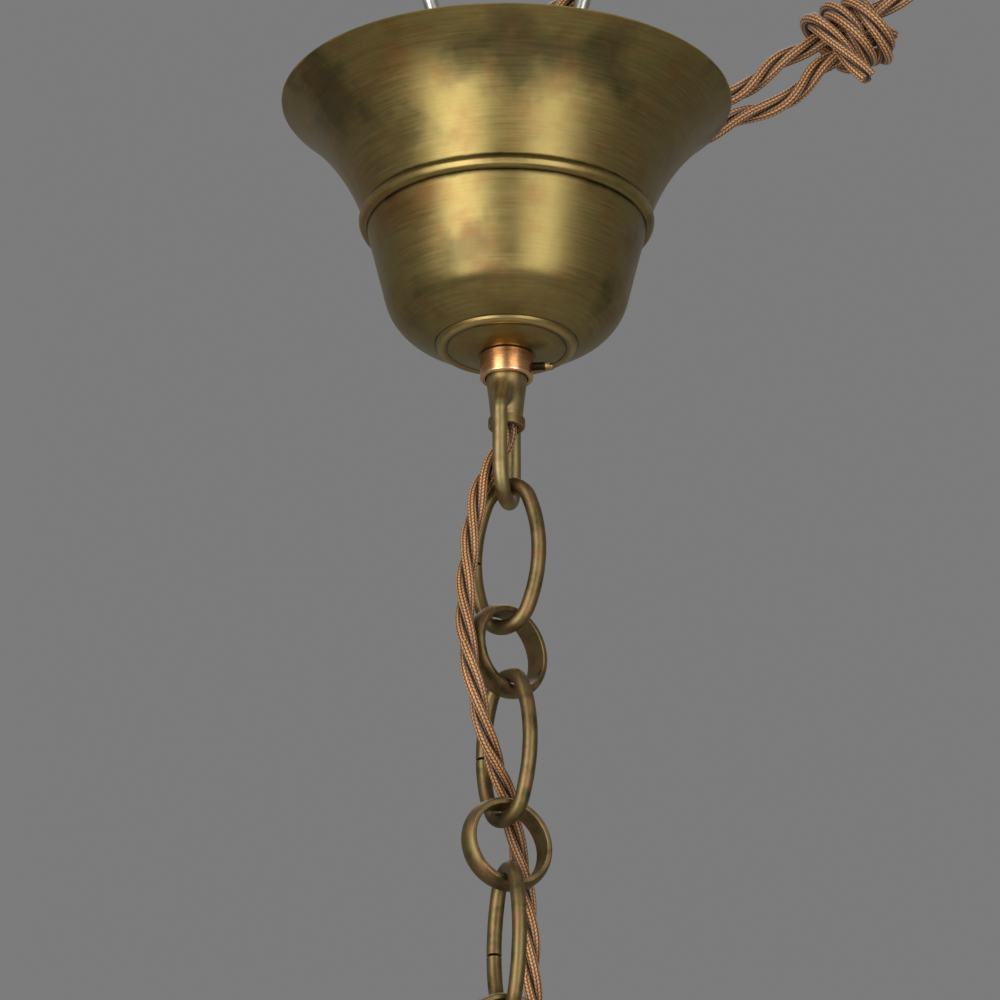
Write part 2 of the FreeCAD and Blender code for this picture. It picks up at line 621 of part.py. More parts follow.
# Hank of spare flex: a loop each way from a waist, drawn in there by turns of the flex's own end.
WAIST = point(91.9, 32.8, -33.2)
HANK_RISE = math.radians(30.5)
ALONG = point(math.cos(HANK_RISE), 0, math.sin(HANK_RISE))
ABOVE = point(-math.sin(HANK_RISE), 0, math.cos(HANK_RISE))
FRONT = point(0, -1, 0)
STRAND_MEAN = 4.6
STRAND_SWING = 1.2
SWELL_LEN = 30.0
LOWER_END = 45.0
UPPER_END = 34.0
UPPER_R = 7.0
WRAP_START = 16.0
WRAP_DIP = 21.0
WRAP_SETBACK = 1.2
WRAP_R = 9.8
WRAP_PITCH = 6.6
WRAP_TURNS = 2.25
WRAP_TILT = 0.24
TAIL_LEN = 18.0
HANK_SAG = 3.2
LEAD_END = 10.0
GAP_SAMPLES = 24
HEADING_STEP = 1e-4


def hank_place(down, above, front=0.0):
    return WAIST - ALONG * down + ABOVE * above + FRONT * front


def strand(down):
    # Distance of each strand from the middle of the hank, least at the waist.
    return STRAND_MEAN - STRAND_SWING * math.cos(2 * math.pi * max(down, 0) / SWELL_LEN)


def strand_place(down, side):
    # One of the two strands that sag together between the waist and the lower end.
    sag = HANK_SAG * math.sin(math.pi * down / LOWER_END) ** 2
    return hank_place(down, side * strand(down) - sag)


def hank_pieces():
    # Pieces of the route in order, each with its number of stations and its place for a share from 0 to 1.
    lower_r = strand(LOWER_END)
    waist_r = strand(0)
    upper_mid = waist_r + UPPER_R
    first_down = -WRAP_START - WRAP_SETBACK
    flex_d = number("flex_d")

    def half_round(share, down, middle, radius, outward):
        angle = math.pi * share
        return hank_place(down + outward * radius * math.sin(angle), middle + radius * math.cos(angle))

    def coil_in(share):
        turn = math.pi * (1 + share ** 2)
        ease = share ** 2 * (3 - 2 * share)
        radius = waist_r + (WRAP_R - waist_r) * ease
        dip = WRAP_DIP * share * (1 - share) ** 2 + WRAP_PITCH * share ** 2 * (1 - share)
        above = radius * math.cos(turn)
        down = -WRAP_START - dip + (WRAP_TILT * above - WRAP_SETBACK) * ease
        return hank_place(down, above, radius * math.sin(turn))

    def wraps(share):
        turn = 2 * math.pi * (1 + WRAP_TURNS * share)
        above = WRAP_R * math.cos(turn)
        down = first_down + WRAP_PITCH * WRAP_TURNS * share + WRAP_TILT * above
        return hank_place(down, above, WRAP_R * math.sin(turn))

    def tail(share):
        climb = WRAP_PITCH / (2 * math.pi * WRAP_R) - WRAP_TILT
        run = TAIL_LEN * share
        return hank_place(first_down + WRAP_PITCH * WRAP_TURNS + climb * run, -run, WRAP_R)

    return [
        (1, lambda share: hank_place(flex_d * (1 - share) - UPPER_END, waist_r + 2 * UPPER_R)),
        (4, lambda share: half_round(share, -UPPER_END, upper_mid, UPPER_R, -1)),
        (1, lambda share: hank_place(-UPPER_END * (1 - share), waist_r)),
        (6, lambda share: strand_place(LOWER_END * share, 1)),
        (4, lambda share: half_round(share, LOWER_END, 0, lower_r, 1)),
        (6, lambda share: strand_place(LOWER_END * (1 - share), -1)),
        (1, lambda share: hank_place(-WRAP_START * share, -waist_r)),
        (4, coil_in),
        (round(WRAP_TURNS * 4), wraps),
        (1, tail)]


def tangent_arc(start, heading, end):
    # An arc that leaves start along heading and passes through end.
    chord = end - start
    inward = chord - heading * chord.dot(heading)
    if inward.Length < 1e-6:
        return line_edge(start, end)
    inward.normalize()
    radius = chord.dot(chord) / (2 * chord.dot(inward))
    centre = start + inward * radius
    bulge = start + chord * 0.5 - centre
    bulge.normalize()
    return arc_edge(start, centre + bulge * radius, end)


def biarc(start, start_heading, end, end_heading):
    across = end - start
    square = 2 * (start_heading.dot(end_heading) - 1)
    linear = -2 * across.dot(start_heading + end_heading)
    rest = across.dot(across)
    if abs(square) < 1e-9:
        handle = -rest / linear
    else:
        handle = (-linear - math.sqrt(linear ** 2 - 4 * square * rest)) / (2 * square)
    meet = (start + start_heading * handle + end - end_heading * handle) * 0.5
    first = tangent_arc(start, start_heading, meet)
    second = tangent_arc(end, end_heading * -1, meet)
    return [first, second]


def flex_hank():
    pieces = hank_pieces()
    places = []
    headings = []
    for stations, place in pieces:
        for index in range(stations):
            share = index / stations
            ahead = place(share + HEADING_STEP) - place(share)
            ahead.normalize()
            places.append(place(share))
            headings.append(ahead)
    places.append(pieces[-1][1](1.0))
    headings.append(headings[-1])
    edges = []
    for index in range(len(places) - 1):
        edges += biarc(places[index], headings[index], places[index + 1], headings[index + 1])
    solid, error = wire_solid(Part.__sortEdges__(edges), number("flex_d / 2"))
    samples = [place(step / GAP_SAMPLES) for stations, place in pieces for step in range(GAP_SAMPLES)]
    travel = [0.0]
    for before, after in zip(samples, samples[1:]):
        travel.append(travel[-1] + (after - before).Length)
    apart = 3 * number("flex_d")
    least = min((samples[i] - samples[j]).Length
                for i in range(len(samples)) for j in range(i) if travel[i] - travel[j] > apart)
    print("flex_hank: length %.0f mm, least gap to itself %.2f mm, volume error %.5f" % (
        sum(edge.Length for edge in edges), least - number("flex_d"), error))
    node(feature("flex_hank", solid), "flex_hank")


def flex_lead():
    # Out of the tube bush, up beside the stirrup and over to the hank.
    route = [
        (0.0, 0.0, -57.0), (1.6, 0.6, -51.0), (5.8, 2.4, -43.0), (12.5, 5.2, -34.0), (21.5, 9.0, -25.5),
        (33.0, 13.3, -20.0), (47.0, 18.2, -17.0), (64.0, 23.8, -16.0), (82.0, 29.4, -14.2)]
    start = point(0, 0, number("%s + bush_h" % TUBE_TOP))
    end = hank_pieces()[0][1](0.0)
    flex_along("flex_lead", [start] + [point(*place) for place in route] + [end - ALONG * LEAD_END, end])


def check_and_write():
    doc.recompute()
    failed = [item.Name for item in doc.Objects if "Invalid" in item.State or "Error" in item.State]
    if failed:
        raise RuntimeError("failed objects: " + ", ".join(failed))
    for item in NODES:
        if item.Shape.isNull() or not item.Shape.isValid() or not item.Shape.Solids:
            raise RuntimeError("bad shape: " + item.Label)
    os.makedirs("parts", exist_ok=True)
    for item in NODES:
        item.Shape.exportStep("parts/%s.step" % item.Label)
    print("%d nodes written" % len(NODES))


stirrup()
stirrup_plate()
rod_nuts()
tube_set()
canopy()
collar_set()
loop_stem()
LOOP_TOP = chain()
LANTERN_MOUTH = lantern_loop(LOOP_TOP)
stem_flex()
chain_flex(LANTERN_MOUTH)
flex_hank()
flex_lead()
check_and_write()
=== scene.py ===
import bmesh
import bpy
import json
import math
from functools import partial
from mathutils import Matrix, Vector, noise

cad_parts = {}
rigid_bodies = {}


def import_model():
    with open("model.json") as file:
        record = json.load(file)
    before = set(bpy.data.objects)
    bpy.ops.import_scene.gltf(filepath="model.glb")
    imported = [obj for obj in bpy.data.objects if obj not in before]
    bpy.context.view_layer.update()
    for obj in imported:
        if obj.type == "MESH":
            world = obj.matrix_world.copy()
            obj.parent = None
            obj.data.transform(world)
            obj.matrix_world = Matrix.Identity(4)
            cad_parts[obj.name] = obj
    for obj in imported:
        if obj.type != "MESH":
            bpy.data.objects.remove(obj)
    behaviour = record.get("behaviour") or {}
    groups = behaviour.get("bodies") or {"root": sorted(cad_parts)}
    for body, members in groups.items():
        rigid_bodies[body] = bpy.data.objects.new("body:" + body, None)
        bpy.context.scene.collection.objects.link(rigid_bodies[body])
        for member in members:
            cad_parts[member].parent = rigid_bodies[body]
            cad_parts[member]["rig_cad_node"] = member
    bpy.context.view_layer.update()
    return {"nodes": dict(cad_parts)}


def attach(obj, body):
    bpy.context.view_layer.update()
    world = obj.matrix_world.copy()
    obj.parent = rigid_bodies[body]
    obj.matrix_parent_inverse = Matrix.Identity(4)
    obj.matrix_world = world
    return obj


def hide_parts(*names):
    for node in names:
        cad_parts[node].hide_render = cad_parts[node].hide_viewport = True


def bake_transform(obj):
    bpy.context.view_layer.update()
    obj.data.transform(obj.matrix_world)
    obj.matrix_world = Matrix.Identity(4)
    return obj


# Ceiling suspension of a hall lantern. Sizes are in millimetres, heights are from the hook point, and the meshes are
# in metres.
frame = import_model()
scene = bpy.context.scene
mm = 0.001
print("frame loaded with", len(frame["nodes"]), "nodes")


def addNode(tree, kind, settings=None, inputs=None, stops=()):
    # A bare word as settings is the operation, and a node as an input gives its first live output
    node = tree.nodes.new(kind)
    if isinstance(settings, str):
        settings = {"operation": settings}
    for key, value in (settings or {}).items():
        setattr(node, key, value)
    for key, value in (inputs or {}).items():
        if isinstance(value, bpy.types.Node):
            value = next(out for out in value.outputs if out.enabled)
        if isinstance(value, bpy.types.NodeSocket):
            tree.links.new(value, node.inputs[key])
        else:
            node.inputs[key].default_value = value
    for index, (place, colour) in enumerate(stops):
        points = node.color_ramp.elements
        point = points[index] if index < len(points) else points.new(place)
        point.position = place
        point.color = linear(colour) if isinstance(colour, str) else (colour,) * 3 + (1.0,)
    return node


def linear(code):
    parts = [int(code[i:i + 2], 16) / 255 for i in (1, 3, 5)]
    return tuple(p / 12.92 if p <= 0.04045 else ((p + 0.055) / 1.055) ** 2.4 for p in parts) + (1.0,)


def newObject(name, data):
    made = bpy.data.objects.new(name, data)
    scene.collection.objects.link(made)
    return made


def drop(*made):
    for each in made:
        data = each.data
        bpy.data.objects.remove(each)
        (bpy.data.curves if isinstance(data, bpy.types.Curve) else bpy.data.meshes).remove(data)


# Camera: below the object, looking up at it
cameraView = {"target": (-1.9, 0.0, -190.9), "lookUp": 24.1, "away": 4000.0, "width": 285.0, "clipEnd": 60000.0}


def addCamera(view):
    data = bpy.data.cameras.new("camera")
    data.angle = 2 * math.atan(view["width"] / 2 / view["away"])
    data.clip_end = view["clipEnd"] * mm
    camera = newObject("camera", data)
    tilt = math.radians(view["lookUp"])
    back = Vector((0, -math.cos(tilt), -math.sin(tilt))) * view["away"]
    camera.location = (Vector(view["target"]) + back) * mm
    camera.rotation_euler = (math.pi / 2 + tilt, 0, 0)
    scene.camera = camera


addCamera(cameraView)

# Materials


def newMaterial(name):
    material = bpy.data.materials.new(name)
    material.use_nodes = True
    material.node_tree.nodes.clear()
    return material, partial(addNode, material.node_tree)


def endMaterial(material, add, finish):
    shader = add("ShaderNodeBsdfPrincipled", inputs=finish)
    add("ShaderNodeOutputMaterial", inputs={"Surface": shader})
    return material


# Spun brass, chemically browned and waxed: olive with faint red-brown clouds, fine rings and streaks from the spinning
# tool and the cloth, bright where the crests have been rubbed, and near black in the grooves with dark patina and
# painted shade
spunBrassLook = {
    "cloud": 34.0, "stain": 9.0, "markPitch": 0.5, "markRun": 16.0, "streak": 0.46, "redness": 0.34,
    "olive": "#8C7B4A", "brown": "#87683A", "dark": "#675C39", "red": "#875637", "rubbed": "#C8AA6A",
    "grimeAndShade": "#191309", "patchy": 0.9, "markDepth": 0.03, "roughness": (0.27, 0.40), "anisotropic": 0.5}


def agedBrass(name, look):
    # A look with anisotropic gloss has its marks round Z, as the lathe leaves them; the others have them along Z
    material, add = newMaterial(name)
    turned = "anisotropic" in look
    place = add("ShaderNodeTexCoord").outputs["Object"]
    cloud = add("ShaderNodeTexNoise", inputs={
        "Vector": place, "Scale": 1000 / look["cloud"], "Detail": 4.0, "Roughness": 0.55})
    stain = add("ShaderNodeTexNoise", inputs={
        "Vector": place, "Scale": 1000 / look["stain"], "Detail": 5.0, "Roughness": 0.62})
    run, pitch = 1000 / look["markRun"], 1000 / look["markPitch"]
    stretched = add("ShaderNodeMapping", inputs={
        "Vector": place, "Scale": (run, run, pitch) if turned else (pitch / 3, pitch / 3, run)})
    marks = add("ShaderNodeTexNoise", inputs={
        "Vector": stretched, "Scale": 1.0, "Detail": 4.0, "Roughness": 0.65})
    # The brown itself, with its red clouds and the streaks over them
    colour = add("ShaderNodeValToRGB", inputs={"Fac": cloud}, stops=[
        (0.34, look["dark"]), (0.46, look["olive"]), (0.56, look["olive"]), (0.7, look["brown"])])
    redness = add("ShaderNodeValToRGB", inputs={"Fac": stain}, stops=[(0.46, 0.0), (0.66, look["redness"])])
    colour = add("ShaderNodeMix", {"data_type": "RGBA"}, {0: redness, 6: colour, 7: linear(look["red"])})
    tone = add("ShaderNodeValToRGB", inputs={"Fac": marks}, stops=[(0.3, 0.36), (0.7, 0.64)])
    colour = add("ShaderNodeMix", {"data_type": "RGBA", "blend_type": "OVERLAY"}, {
        0: look["streak"], 6: colour, 7: tone})
    # The wear-and-shade value is 1 on a rubbed crest and -1 in a groove, where it gives dark patina and painted shade
    wear = add("ShaderNodeAttribute", {"attribute_name": "wear"}).outputs["Fac"]
    uneven = add("ShaderNodeMath", "MULTIPLY_ADD", {0: stain, 1: look["patchy"], 2: -look["patchy"] / 2})
    worn = add("ShaderNodeMath", "ADD", {0: wear, 1: uneven})
    grimeAndShadeShare = add("ShaderNodeMath", "MULTIPLY", {0: worn, 1: -1.0})
    # Rubbed crests are lightened, and grooves and inner corners are darkened near black with dark patina and painted
    # shade
    for coat, share, stops in (("rubbed", worn, [(0.45, 0.0), (1.0, 0.85)]),
                               ("grimeAndShade", grimeAndShadeShare, [(0.3, 0.0), (0.95, 0.92)])):
        shown = add("ShaderNodeValToRGB", inputs={"Fac": share}, stops=stops)
        colour = add("ShaderNodeMix", {"data_type": "RGBA"}, {0: shown, 6: colour, 7: linear(look[coat])})
    low, high = look["roughness"]
    dull = add("ShaderNodeMix", {"data_type": "FLOAT"}, {0: 0.5, 2: marks, 3: stain})
    rough = add("ShaderNodeMapRange", inputs={
        "Value": dull, "From Min": 0.3, "From Max": 0.7, "To Min": low, "To Max": high})
    bump = add("ShaderNodeBump", inputs={
        "Height": marks, "Distance": look["markDepth"] * mm, "Strength": 0.5})
    finish = {"Base Color": colour, "Metallic": 1.0, "Roughness": rough, "Normal": bump}
    if turned:
        tangent = add("ShaderNodeTangent", {"direction_type": "RADIAL", "axis": "Z"})
        finish.update({"Anisotropic": look["anisotropic"], "Tangent": tangent})
    return endMaterial(material, add, finish)


spunBrass = agedBrass("spunAntiqueBrass", spunBrassLook)

# Drawn and cast brass, browned and handled: darker than the canopy, greenish, with pink where the brown has worn, and
# near black in its grooves with dark patina and painted shade
chainBrassLook = {
    "cloud": 11.0, "stain": 4.5, "markPitch": 0.5, "markRun": 8.0, "streak": 0.4, "redness": 0.6,
    "olive": "#7A6B45", "brown": "#6C5336", "dark": "#574C30", "red": "#93694F", "rubbed": "#AF915E",
    "grimeAndShade": "#1B150C", "patchy": 0.9, "markDepth": 0.03, "roughness": (0.40, 0.56)}
chainBrass = agedBrass("brownedChainBrass", chainBrassLook)

# Cast brass of the two loops, browned less: closer to the canopy in colour
loopBrassLook = dict(chainBrassLook, olive="#94845A", brown="#846C46", dark="#6E6240", redness=0.3)
loopBrass = agedBrass("brownedCastBrass", loopBrassLook)

# Turned gilding metal: copper-red brass, satin from the lathe, with dark tarnish and painted shade in its corners
collarBrassLook = {
    "cloud": 9.0, "stain": 4.0, "markPitch": 0.3, "markRun": 12.0, "streak": 0.4, "redness": 0.5,
    "olive": "#CC9A68", "brown": "#B8804F", "dark": "#9E6B42", "red": "#A9633C", "rubbed": "#EBC597",
    "grimeAndShade": "#3A2213", "patchy": 0.9, "markDepth": 0.03, "roughness": (0.22, 0.34), "anisotropic": 0.5}
collarBrass = agedBrass("turnedGildingMetal", collarBrassLook)


def mottledFinish(name, look):
    # One soft mottle gives the colour and the bump, and the roughness too where the look has a range of it
    material, add = newMaterial(name)
    place = add("ShaderNodeTexCoord").outputs["Object"]
    mottle = add("ShaderNodeTexNoise", inputs={
        "Vector": place, "Scale": 1000 / look["mottle"], "Detail": 3.0})
    first, last = look["spread"]
    colour = add("ShaderNodeValToRGB", inputs={"Fac": mottle}, stops=[
        (first, look["dull"]), (last, look["pale"])])
    rough = look["roughness"]
    if isinstance(rough, tuple):
        rough = add("ShaderNodeMapRange", inputs={"Value": mottle, "To Min": rough[1], "To Max": rough[0]})
    bump = add("ShaderNodeBump", inputs={
        "Height": mottle, "Distance": look["depth"] * mm, "Strength": look["strength"]})
    return endMaterial(material, add, {
        "Base Color": colour, "Metallic": look["metallic"], "Roughness": rough, "Normal": bump})


# Zinc-plated steel: pale grey, satin, with faint cloudy crystals
zincLook = {"mottle": 2.5, "pale": "#CFCDC6", "dull": "#AFADA6", "spread": (0.35, 0.62), "metallic": 1.0,
            "roughness": (0.28, 0.42), "depth": 0.02, "strength": 0.4}
zincSteel = mottledFinish("zincPlatedSteel", zincLook)

# Moulded nylon: ivory, half matt, slightly mottled
nylonLook = {"mottle": 1.6, "pale": "#E6E0D0", "dull": "#D5CDBA", "spread": (0.35, 0.65), "metallic": 0.0,
             "roughness": 0.48, "depth": 0.03, "strength": 0.3}
nylon = mottledFinish("mouldedNylon", nylonLook)

# Rayon braid over each core: golden-brown yarns in rows of stitches that lean left and right by turns, with a painted
# highlight on the crowns, painted shade between the stitches and painted brown shade in the valleys between the cores
braidLook = {"rows": 8, "stitch": 1.1, "lean": 0.7, "stitchDepth": 0.7, "crown": "#CB965C", "yarn": "#8A5B32",
             "gap": "#3A1F0E", "valleyShade": "#1E0E06", "fade": 9.0, "fading": 0.45, "bump": 0.12, "roughness": 0.42,
             "sheen": 0.2, "sheenRoughness": 0.4}


def rayonBraid(look):
    material, add = newMaterial("braidedRayon")
    along = add("ShaderNodeAttribute", {"attribute_name": "along"}).outputs["Fac"]
    turn = add("ShaderNodeAttribute", {"attribute_name": "turn"}).outputs["Vector"]
    depth = add("ShaderNodeAttribute", {"attribute_name": "depth"}).outputs["Fac"]
    split = add("ShaderNodeSeparateXYZ", inputs={"Vector": turn}).outputs
    angle = add("ShaderNodeMath", "ARCTAN2", {0: split["Y"], 1: split["X"]})
    around = add("ShaderNodeMath", "MULTIPLY", {0: angle, 1: look["rows"] / (2 * math.pi)})
    row = add("ShaderNodeMath", "FLOOR", {0: around})
    across = add("ShaderNodeMath", "FRACT", {0: around})
    odd = add("ShaderNodeMath", "FLOORED_MODULO", {0: row, 1: 2.0})
    side = add("ShaderNodeMath", "MULTIPLY_ADD", {0: odd, 1: 2 * look["lean"], 2: -look["lean"]})
    slant = add("ShaderNodeMath", "MULTIPLY", {0: across, 1: side})
    run = add("ShaderNodeMath", "MULTIPLY_ADD", {0: along, 1: 1000 / look["stitch"], 2: slant})
    crowns = []
    for lane in (across, run):
        wave = add("ShaderNodeMath", "MULTIPLY", {0: lane, 1: math.pi})
        sine = add("ShaderNodeMath", "SINE", {0: wave})
        crowns.append(add("ShaderNodeMath", "ABSOLUTE", {0: sine}))
    raised = add("ShaderNodeMath", "MULTIPLY_ADD", {
        0: crowns[1], 1: look["stitchDepth"], 2: 1 - look["stitchDepth"]})
    height = add("ShaderNodeMath", "MULTIPLY", {0: crowns[0], 1: raised})
    place = add("ShaderNodeTexCoord").outputs["Object"]
    fade = add("ShaderNodeTexNoise", inputs={"Vector": place, "Scale": 1000 / look["fade"], "Detail": 4.0})
    # Stitch height sets the colour: a painted highlight on the crowns and painted shade in the gaps between stitches
    colour = add("ShaderNodeValToRGB", inputs={"Fac": height}, stops=[
        (0.12, look["gap"]), (0.45, look["yarn"]), (0.85, look["crown"])])
    tone = add("ShaderNodeValToRGB", inputs={"Fac": fade}, stops=[(0.3, 0.38), (0.7, 0.62)])
    colour = add("ShaderNodeMix", {"data_type": "RGBA", "blend_type": "OVERLAY"}, {
        0: look["fading"], 6: colour, 7: tone})
    # Painted brown shade towards the middle of the flex, in the valleys between the cores
    shown = add("ShaderNodeValToRGB", inputs={"Fac": depth}, stops=[(0.46, 0.0), (0.86, 1.0)])
    colour = add("ShaderNodeMix", {"data_type": "RGBA"}, {0: shown, 6: linear(look["valleyShade"]), 7: colour})
    bump = add("ShaderNodeBump", inputs={"Height": height, "Distance": look["bump"] * mm, "Strength": 0.8})
    return endMaterial(material, add, {
        "Base Color": colour, "Roughness": look["roughness"], "Sheen Weight": look["sheen"],
        "Sheen Roughness": look["sheenRoughness"], "Normal": bump})


braid = rayonBraid(braidLook)
print("materials made")

# Geometry node trees


def newTree(name, inputs):
    tree = bpy.data.node_groups.new(name, "GeometryNodeTree")
    tree.interface.new_socket("Geometry", in_out="OUTPUT", socket_type="NodeSocketGeometry")
    for label, kind in inputs:
        tree.interface.new_socket(label, in_out="INPUT", socket_type="NodeSocket" + kind)
    add = partial(addNode, tree)
    return tree, add, add("NodeGroupInput").outputs


def endTree(tree, add, geometry, material):
    real = add("GeometryNodeRealizeInstances", inputs={"Geometry": geometry})
    dressed = add("GeometryNodeSetMaterial", inputs={"Geometry": real, "Material": material})
    add("NodeGroupOutput", inputs={"Geometry": dressed})
    return tree


def settle(made):
    # Turns the evaluated object into a plain mesh with no modifiers
    graph = bpy.context.evaluated_depsgraph_get()
    mesh = bpy.data.meshes.new_from_object(made.evaluated_get(graph), preserve_all_data_layers=True, depsgraph=graph)
    old = made.data
    made.modifiers.clear()
    made.data = mesh
    bpy.data.meshes.remove(old)
    mesh.name = made.name
    return made


def meshFromTree(name, tree, values):
    made = newObject(name, bpy.data.meshes.new(name))
    modifier = made.modifiers.new("tree", "NODES")
    modifier.node_group = tree
    for item in tree.interface.items_tree:
        if item.in_out == "INPUT":
            modifier[item.identifier] = values[item.name]
    return settle(made)


def twistedCoresTree():
    # Three round cores laid round a path, with the length along and the turn round each kept for the braid
    tree, add, given = newTree("twistedCores", [
        ("Path", "Object"), ("Core Radius", "Float"), ("Reach", "Float"), ("Lay", "Float"), ("Phase", "Float"),
        ("Spacing", "Float"), ("Start", "Float"), ("End", "Float"), ("Sides", "Int"), ("Material", "Material")])
    path = add("GeometryNodeObjectInfo", inputs={"Object": given["Path"]}).outputs["Geometry"]
    even = add("GeometryNodeResampleCurve", {"mode": "LENGTH"}, {"Curve": path, "Length": given["Spacing"]})
    length = add("GeometryNodeSplineParameter").outputs["Length"]
    kept = add("GeometryNodeStoreNamedAttribute", {"data_type": "FLOAT"}, {
        "Geometry": even, "Name": "along", "Value": length})
    normal = add("GeometryNodeInputNormal")
    tangent = add("GeometryNodeInputTangent")
    aside = add("ShaderNodeVectorMath", "CROSS_PRODUCT", {0: tangent, 1: normal})
    lays = add("ShaderNodeMath", "DIVIDE", {0: length, 1: given["Lay"]})
    turned = add("ShaderNodeMath", "MULTIPLY_ADD", {0: lays, 1: -2 * math.pi, 2: given["Phase"]})
    offset = add("ShaderNodeMath", "MULTIPLY", {0: given["Core Radius"], 1: 2 / math.sqrt(3)})
    cores = add("GeometryNodeJoinGeometry")
    for core in range(3):
        angle = add("ShaderNodeMath", "ADD", {0: turned, 1: core * 2 * math.pi / 3})
        parts = []
        for operation, direction in (("COSINE", normal), ("SINE", aside)):
            share = add("ShaderNodeMath", operation, {0: angle})
            size = add("ShaderNodeMath", "MULTIPLY", {0: share, 1: offset})
            parts.append(add("ShaderNodeVectorMath", "SCALE", {"Vector": direction, "Scale": size}))
        shift = add("ShaderNodeVectorMath", "ADD", {0: parts[0], 1: parts[1]})
        moved = add("GeometryNodeSetPosition", inputs={"Geometry": kept, "Offset": shift})
        tree.links.new(moved.outputs[0], cores.inputs[0])
    cut = add("GeometryNodeTrimCurve", {"mode": "FACTOR"}, {
        "Curve": cores, "Start": given["Start"], "End": given["End"]})
    ring = add("GeometryNodeCurvePrimitiveCircle", inputs={
        "Resolution": given["Sides"], "Radius": given["Core Radius"]})
    where = add("GeometryNodeInputPosition")
    unit = add("ShaderNodeVectorMath", "NORMALIZE", {0: where})
    marked = add("GeometryNodeStoreNamedAttribute", {"data_type": "FLOAT_VECTOR"}, {
        "Geometry": ring, "Name": "turn", "Value": unit})
    tube = add("GeometryNodeCurveToMesh", inputs={"Curve": cut, "Profile Curve": marked, "Fill Caps": True})
    # Depth is the distance from the middle of the flex, as a share of its radius; the braid paints shade where it is
    # small
    spine = add("GeometryNodeCurveToMesh", inputs={"Curve": even})
    near = add("GeometryNodeProximity", {"target_element": "EDGES"}, {"Target": spine}).outputs["Distance"]
    depth = add("ShaderNodeMath", "DIVIDE", {0: near, 1: given["Reach"]})
    shaded = add("GeometryNodeStoreNamedAttribute", {"data_type": "FLOAT"}, {
        "Geometry": tube, "Name": "depth", "Value": depth})
    return endTree(tree, add, shaded, given["Material"])


def bentWireTree():
    # Round wire along a path, with the slight unevenness of hand bending
    tree, add, given = newTree("bentWire", [
        ("Path", "Object"), ("Radius", "Float"), ("Sides", "Int"), ("Waver", "Float"), ("Waver Size", "Float"),
        ("Material", "Material")])
    path = add("GeometryNodeObjectInfo", inputs={"Object": given["Path"]}).outputs["Geometry"]
    ring = add("GeometryNodeCurvePrimitiveCircle", inputs={
        "Resolution": given["Sides"], "Radius": given["Radius"]})
    taper = add("GeometryNodeInputRadius")
    # Ends that are filed thinner are darkened with dark patina and painted shade
    filed = add("ShaderNodeMath", "MULTIPLY_ADD", {0: taper, 1: 5.0, 2: -5.0})
    filedGrimeAndShade = add("ShaderNodeMath", "MINIMUM", {0: filed, 1: 0.0})
    marked = add("GeometryNodeStoreNamedAttribute", {"data_type": "FLOAT"}, {
        "Geometry": path, "Name": "wear", "Value": filedGrimeAndShade})
    tube = add("GeometryNodeCurveToMesh", inputs={
        "Curve": marked, "Profile Curve": ring, "Scale": taper, "Fill Caps": True})
    fine = add("ShaderNodeMath", "DIVIDE", {0: 1.0, 1: given["Waver Size"]})
    uneven = add("ShaderNodeTexNoise", inputs={"Scale": fine, "Detail": 1.0})
    size = add("ShaderNodeMath", "SUBTRACT", {0: uneven, 1: 0.5})
    size = add("ShaderNodeMath", "MULTIPLY", {0: size, 1: given["Waver"]})
    normal = add("GeometryNodeInputNormal")
    shift = add("ShaderNodeVectorMath", "SCALE", {"Vector": normal, "Scale": size})
    moved = add("GeometryNodeSetPosition", inputs={"Geometry": tube, "Offset": shift})
    return endTree(tree, add, moved, given["Material"])


def nutsTree():
    tree, add, given = newTree("nutsOnPlaces", [("Nut", "Object"), ("Places", "Object"), ("Material", "Material")])
    nut, places = [add("GeometryNodeObjectInfo", inputs={"Object": given[key]}).outputs["Geometry"]
                   for key in ("Nut", "Places")]
    spread = add("GeometryNodeInstanceOnPoints", inputs={"Points": places, "Instance": nut})
    return endTree(tree, add, spread, given["Material"])


twistedCores = twistedCoresTree()
bentWire = bentWireTree()
nutsOnPlaces = nutsTree()
print("geometry node trees built")


def finishPiece(made, material, node, body=None, smooth=35.0):
    mesh = made.data
    if material.name not in mesh.materials:
        mesh.materials.clear()
        mesh.materials.append(material)
    mesh.shade_smooth()
    mesh.set_sharp_from_angle(angle=math.radians(smooth))
    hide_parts(node)
    if body:
        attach(made, body)
    return made


def newLine(name, kind, places):
    curve = bpy.data.curves.new(name, "CURVE")
    curve.dimensions = "3D"
    spline = curve.splines.new(kind)
    spline.points.add(len(places) - 1)
    for point, place in zip(spline.points, places):
        point.co = (*(Vector(place) * mm), 1.0)
    return newObject(name, curve), spline


# Flex: three braided cores twisted together
flex = {"diameter": 5.8, "lay": 46.0, "spacing": 0.8, "sides": 16}
coreRadius = flex["diameter"] / 2 / (1 + 2 / math.sqrt(3))


def cordLine(name, points):
    line, spline = newLine(name, "NURBS", points)
    line.data.resolution_u = 16
    spline.order_u = 3
    spline.use_endpoint_u = True
    return line


def linePoints(line):
    graph = bpy.context.evaluated_depsgraph_get()
    mesh = bpy.data.meshes.new_from_object(line.evaluated_get(graph))
    points = []
    for vertex in mesh.vertices:
        if not points or (vertex.co - points[-1]).length > 1e-4:
            points.append(vertex.co.copy())
    bpy.data.meshes.remove(mesh)
    return points


def shares(points):
    travel = [0.0]
    for before, after in zip(points, points[1:]):
        travel.append(travel[-1] + (after - before).length)
    return [step / travel[-1] for step in travel], travel[-1]


def flexPiece(name, line, start, end, phase, node, body=None):
    made = meshFromTree(name, twistedCores, {
        "Path": line, "Core Radius": coreRadius * mm, "Reach": flex["diameter"] / 2 * mm, "Lay": flex["lay"] * mm,
        "Phase": phase, "Spacing": flex["spacing"] * mm, "Start": start, "End": end, "Sides": flex["sides"],
        "Material": braid})
    return finishPiece(made, braid, node, body)


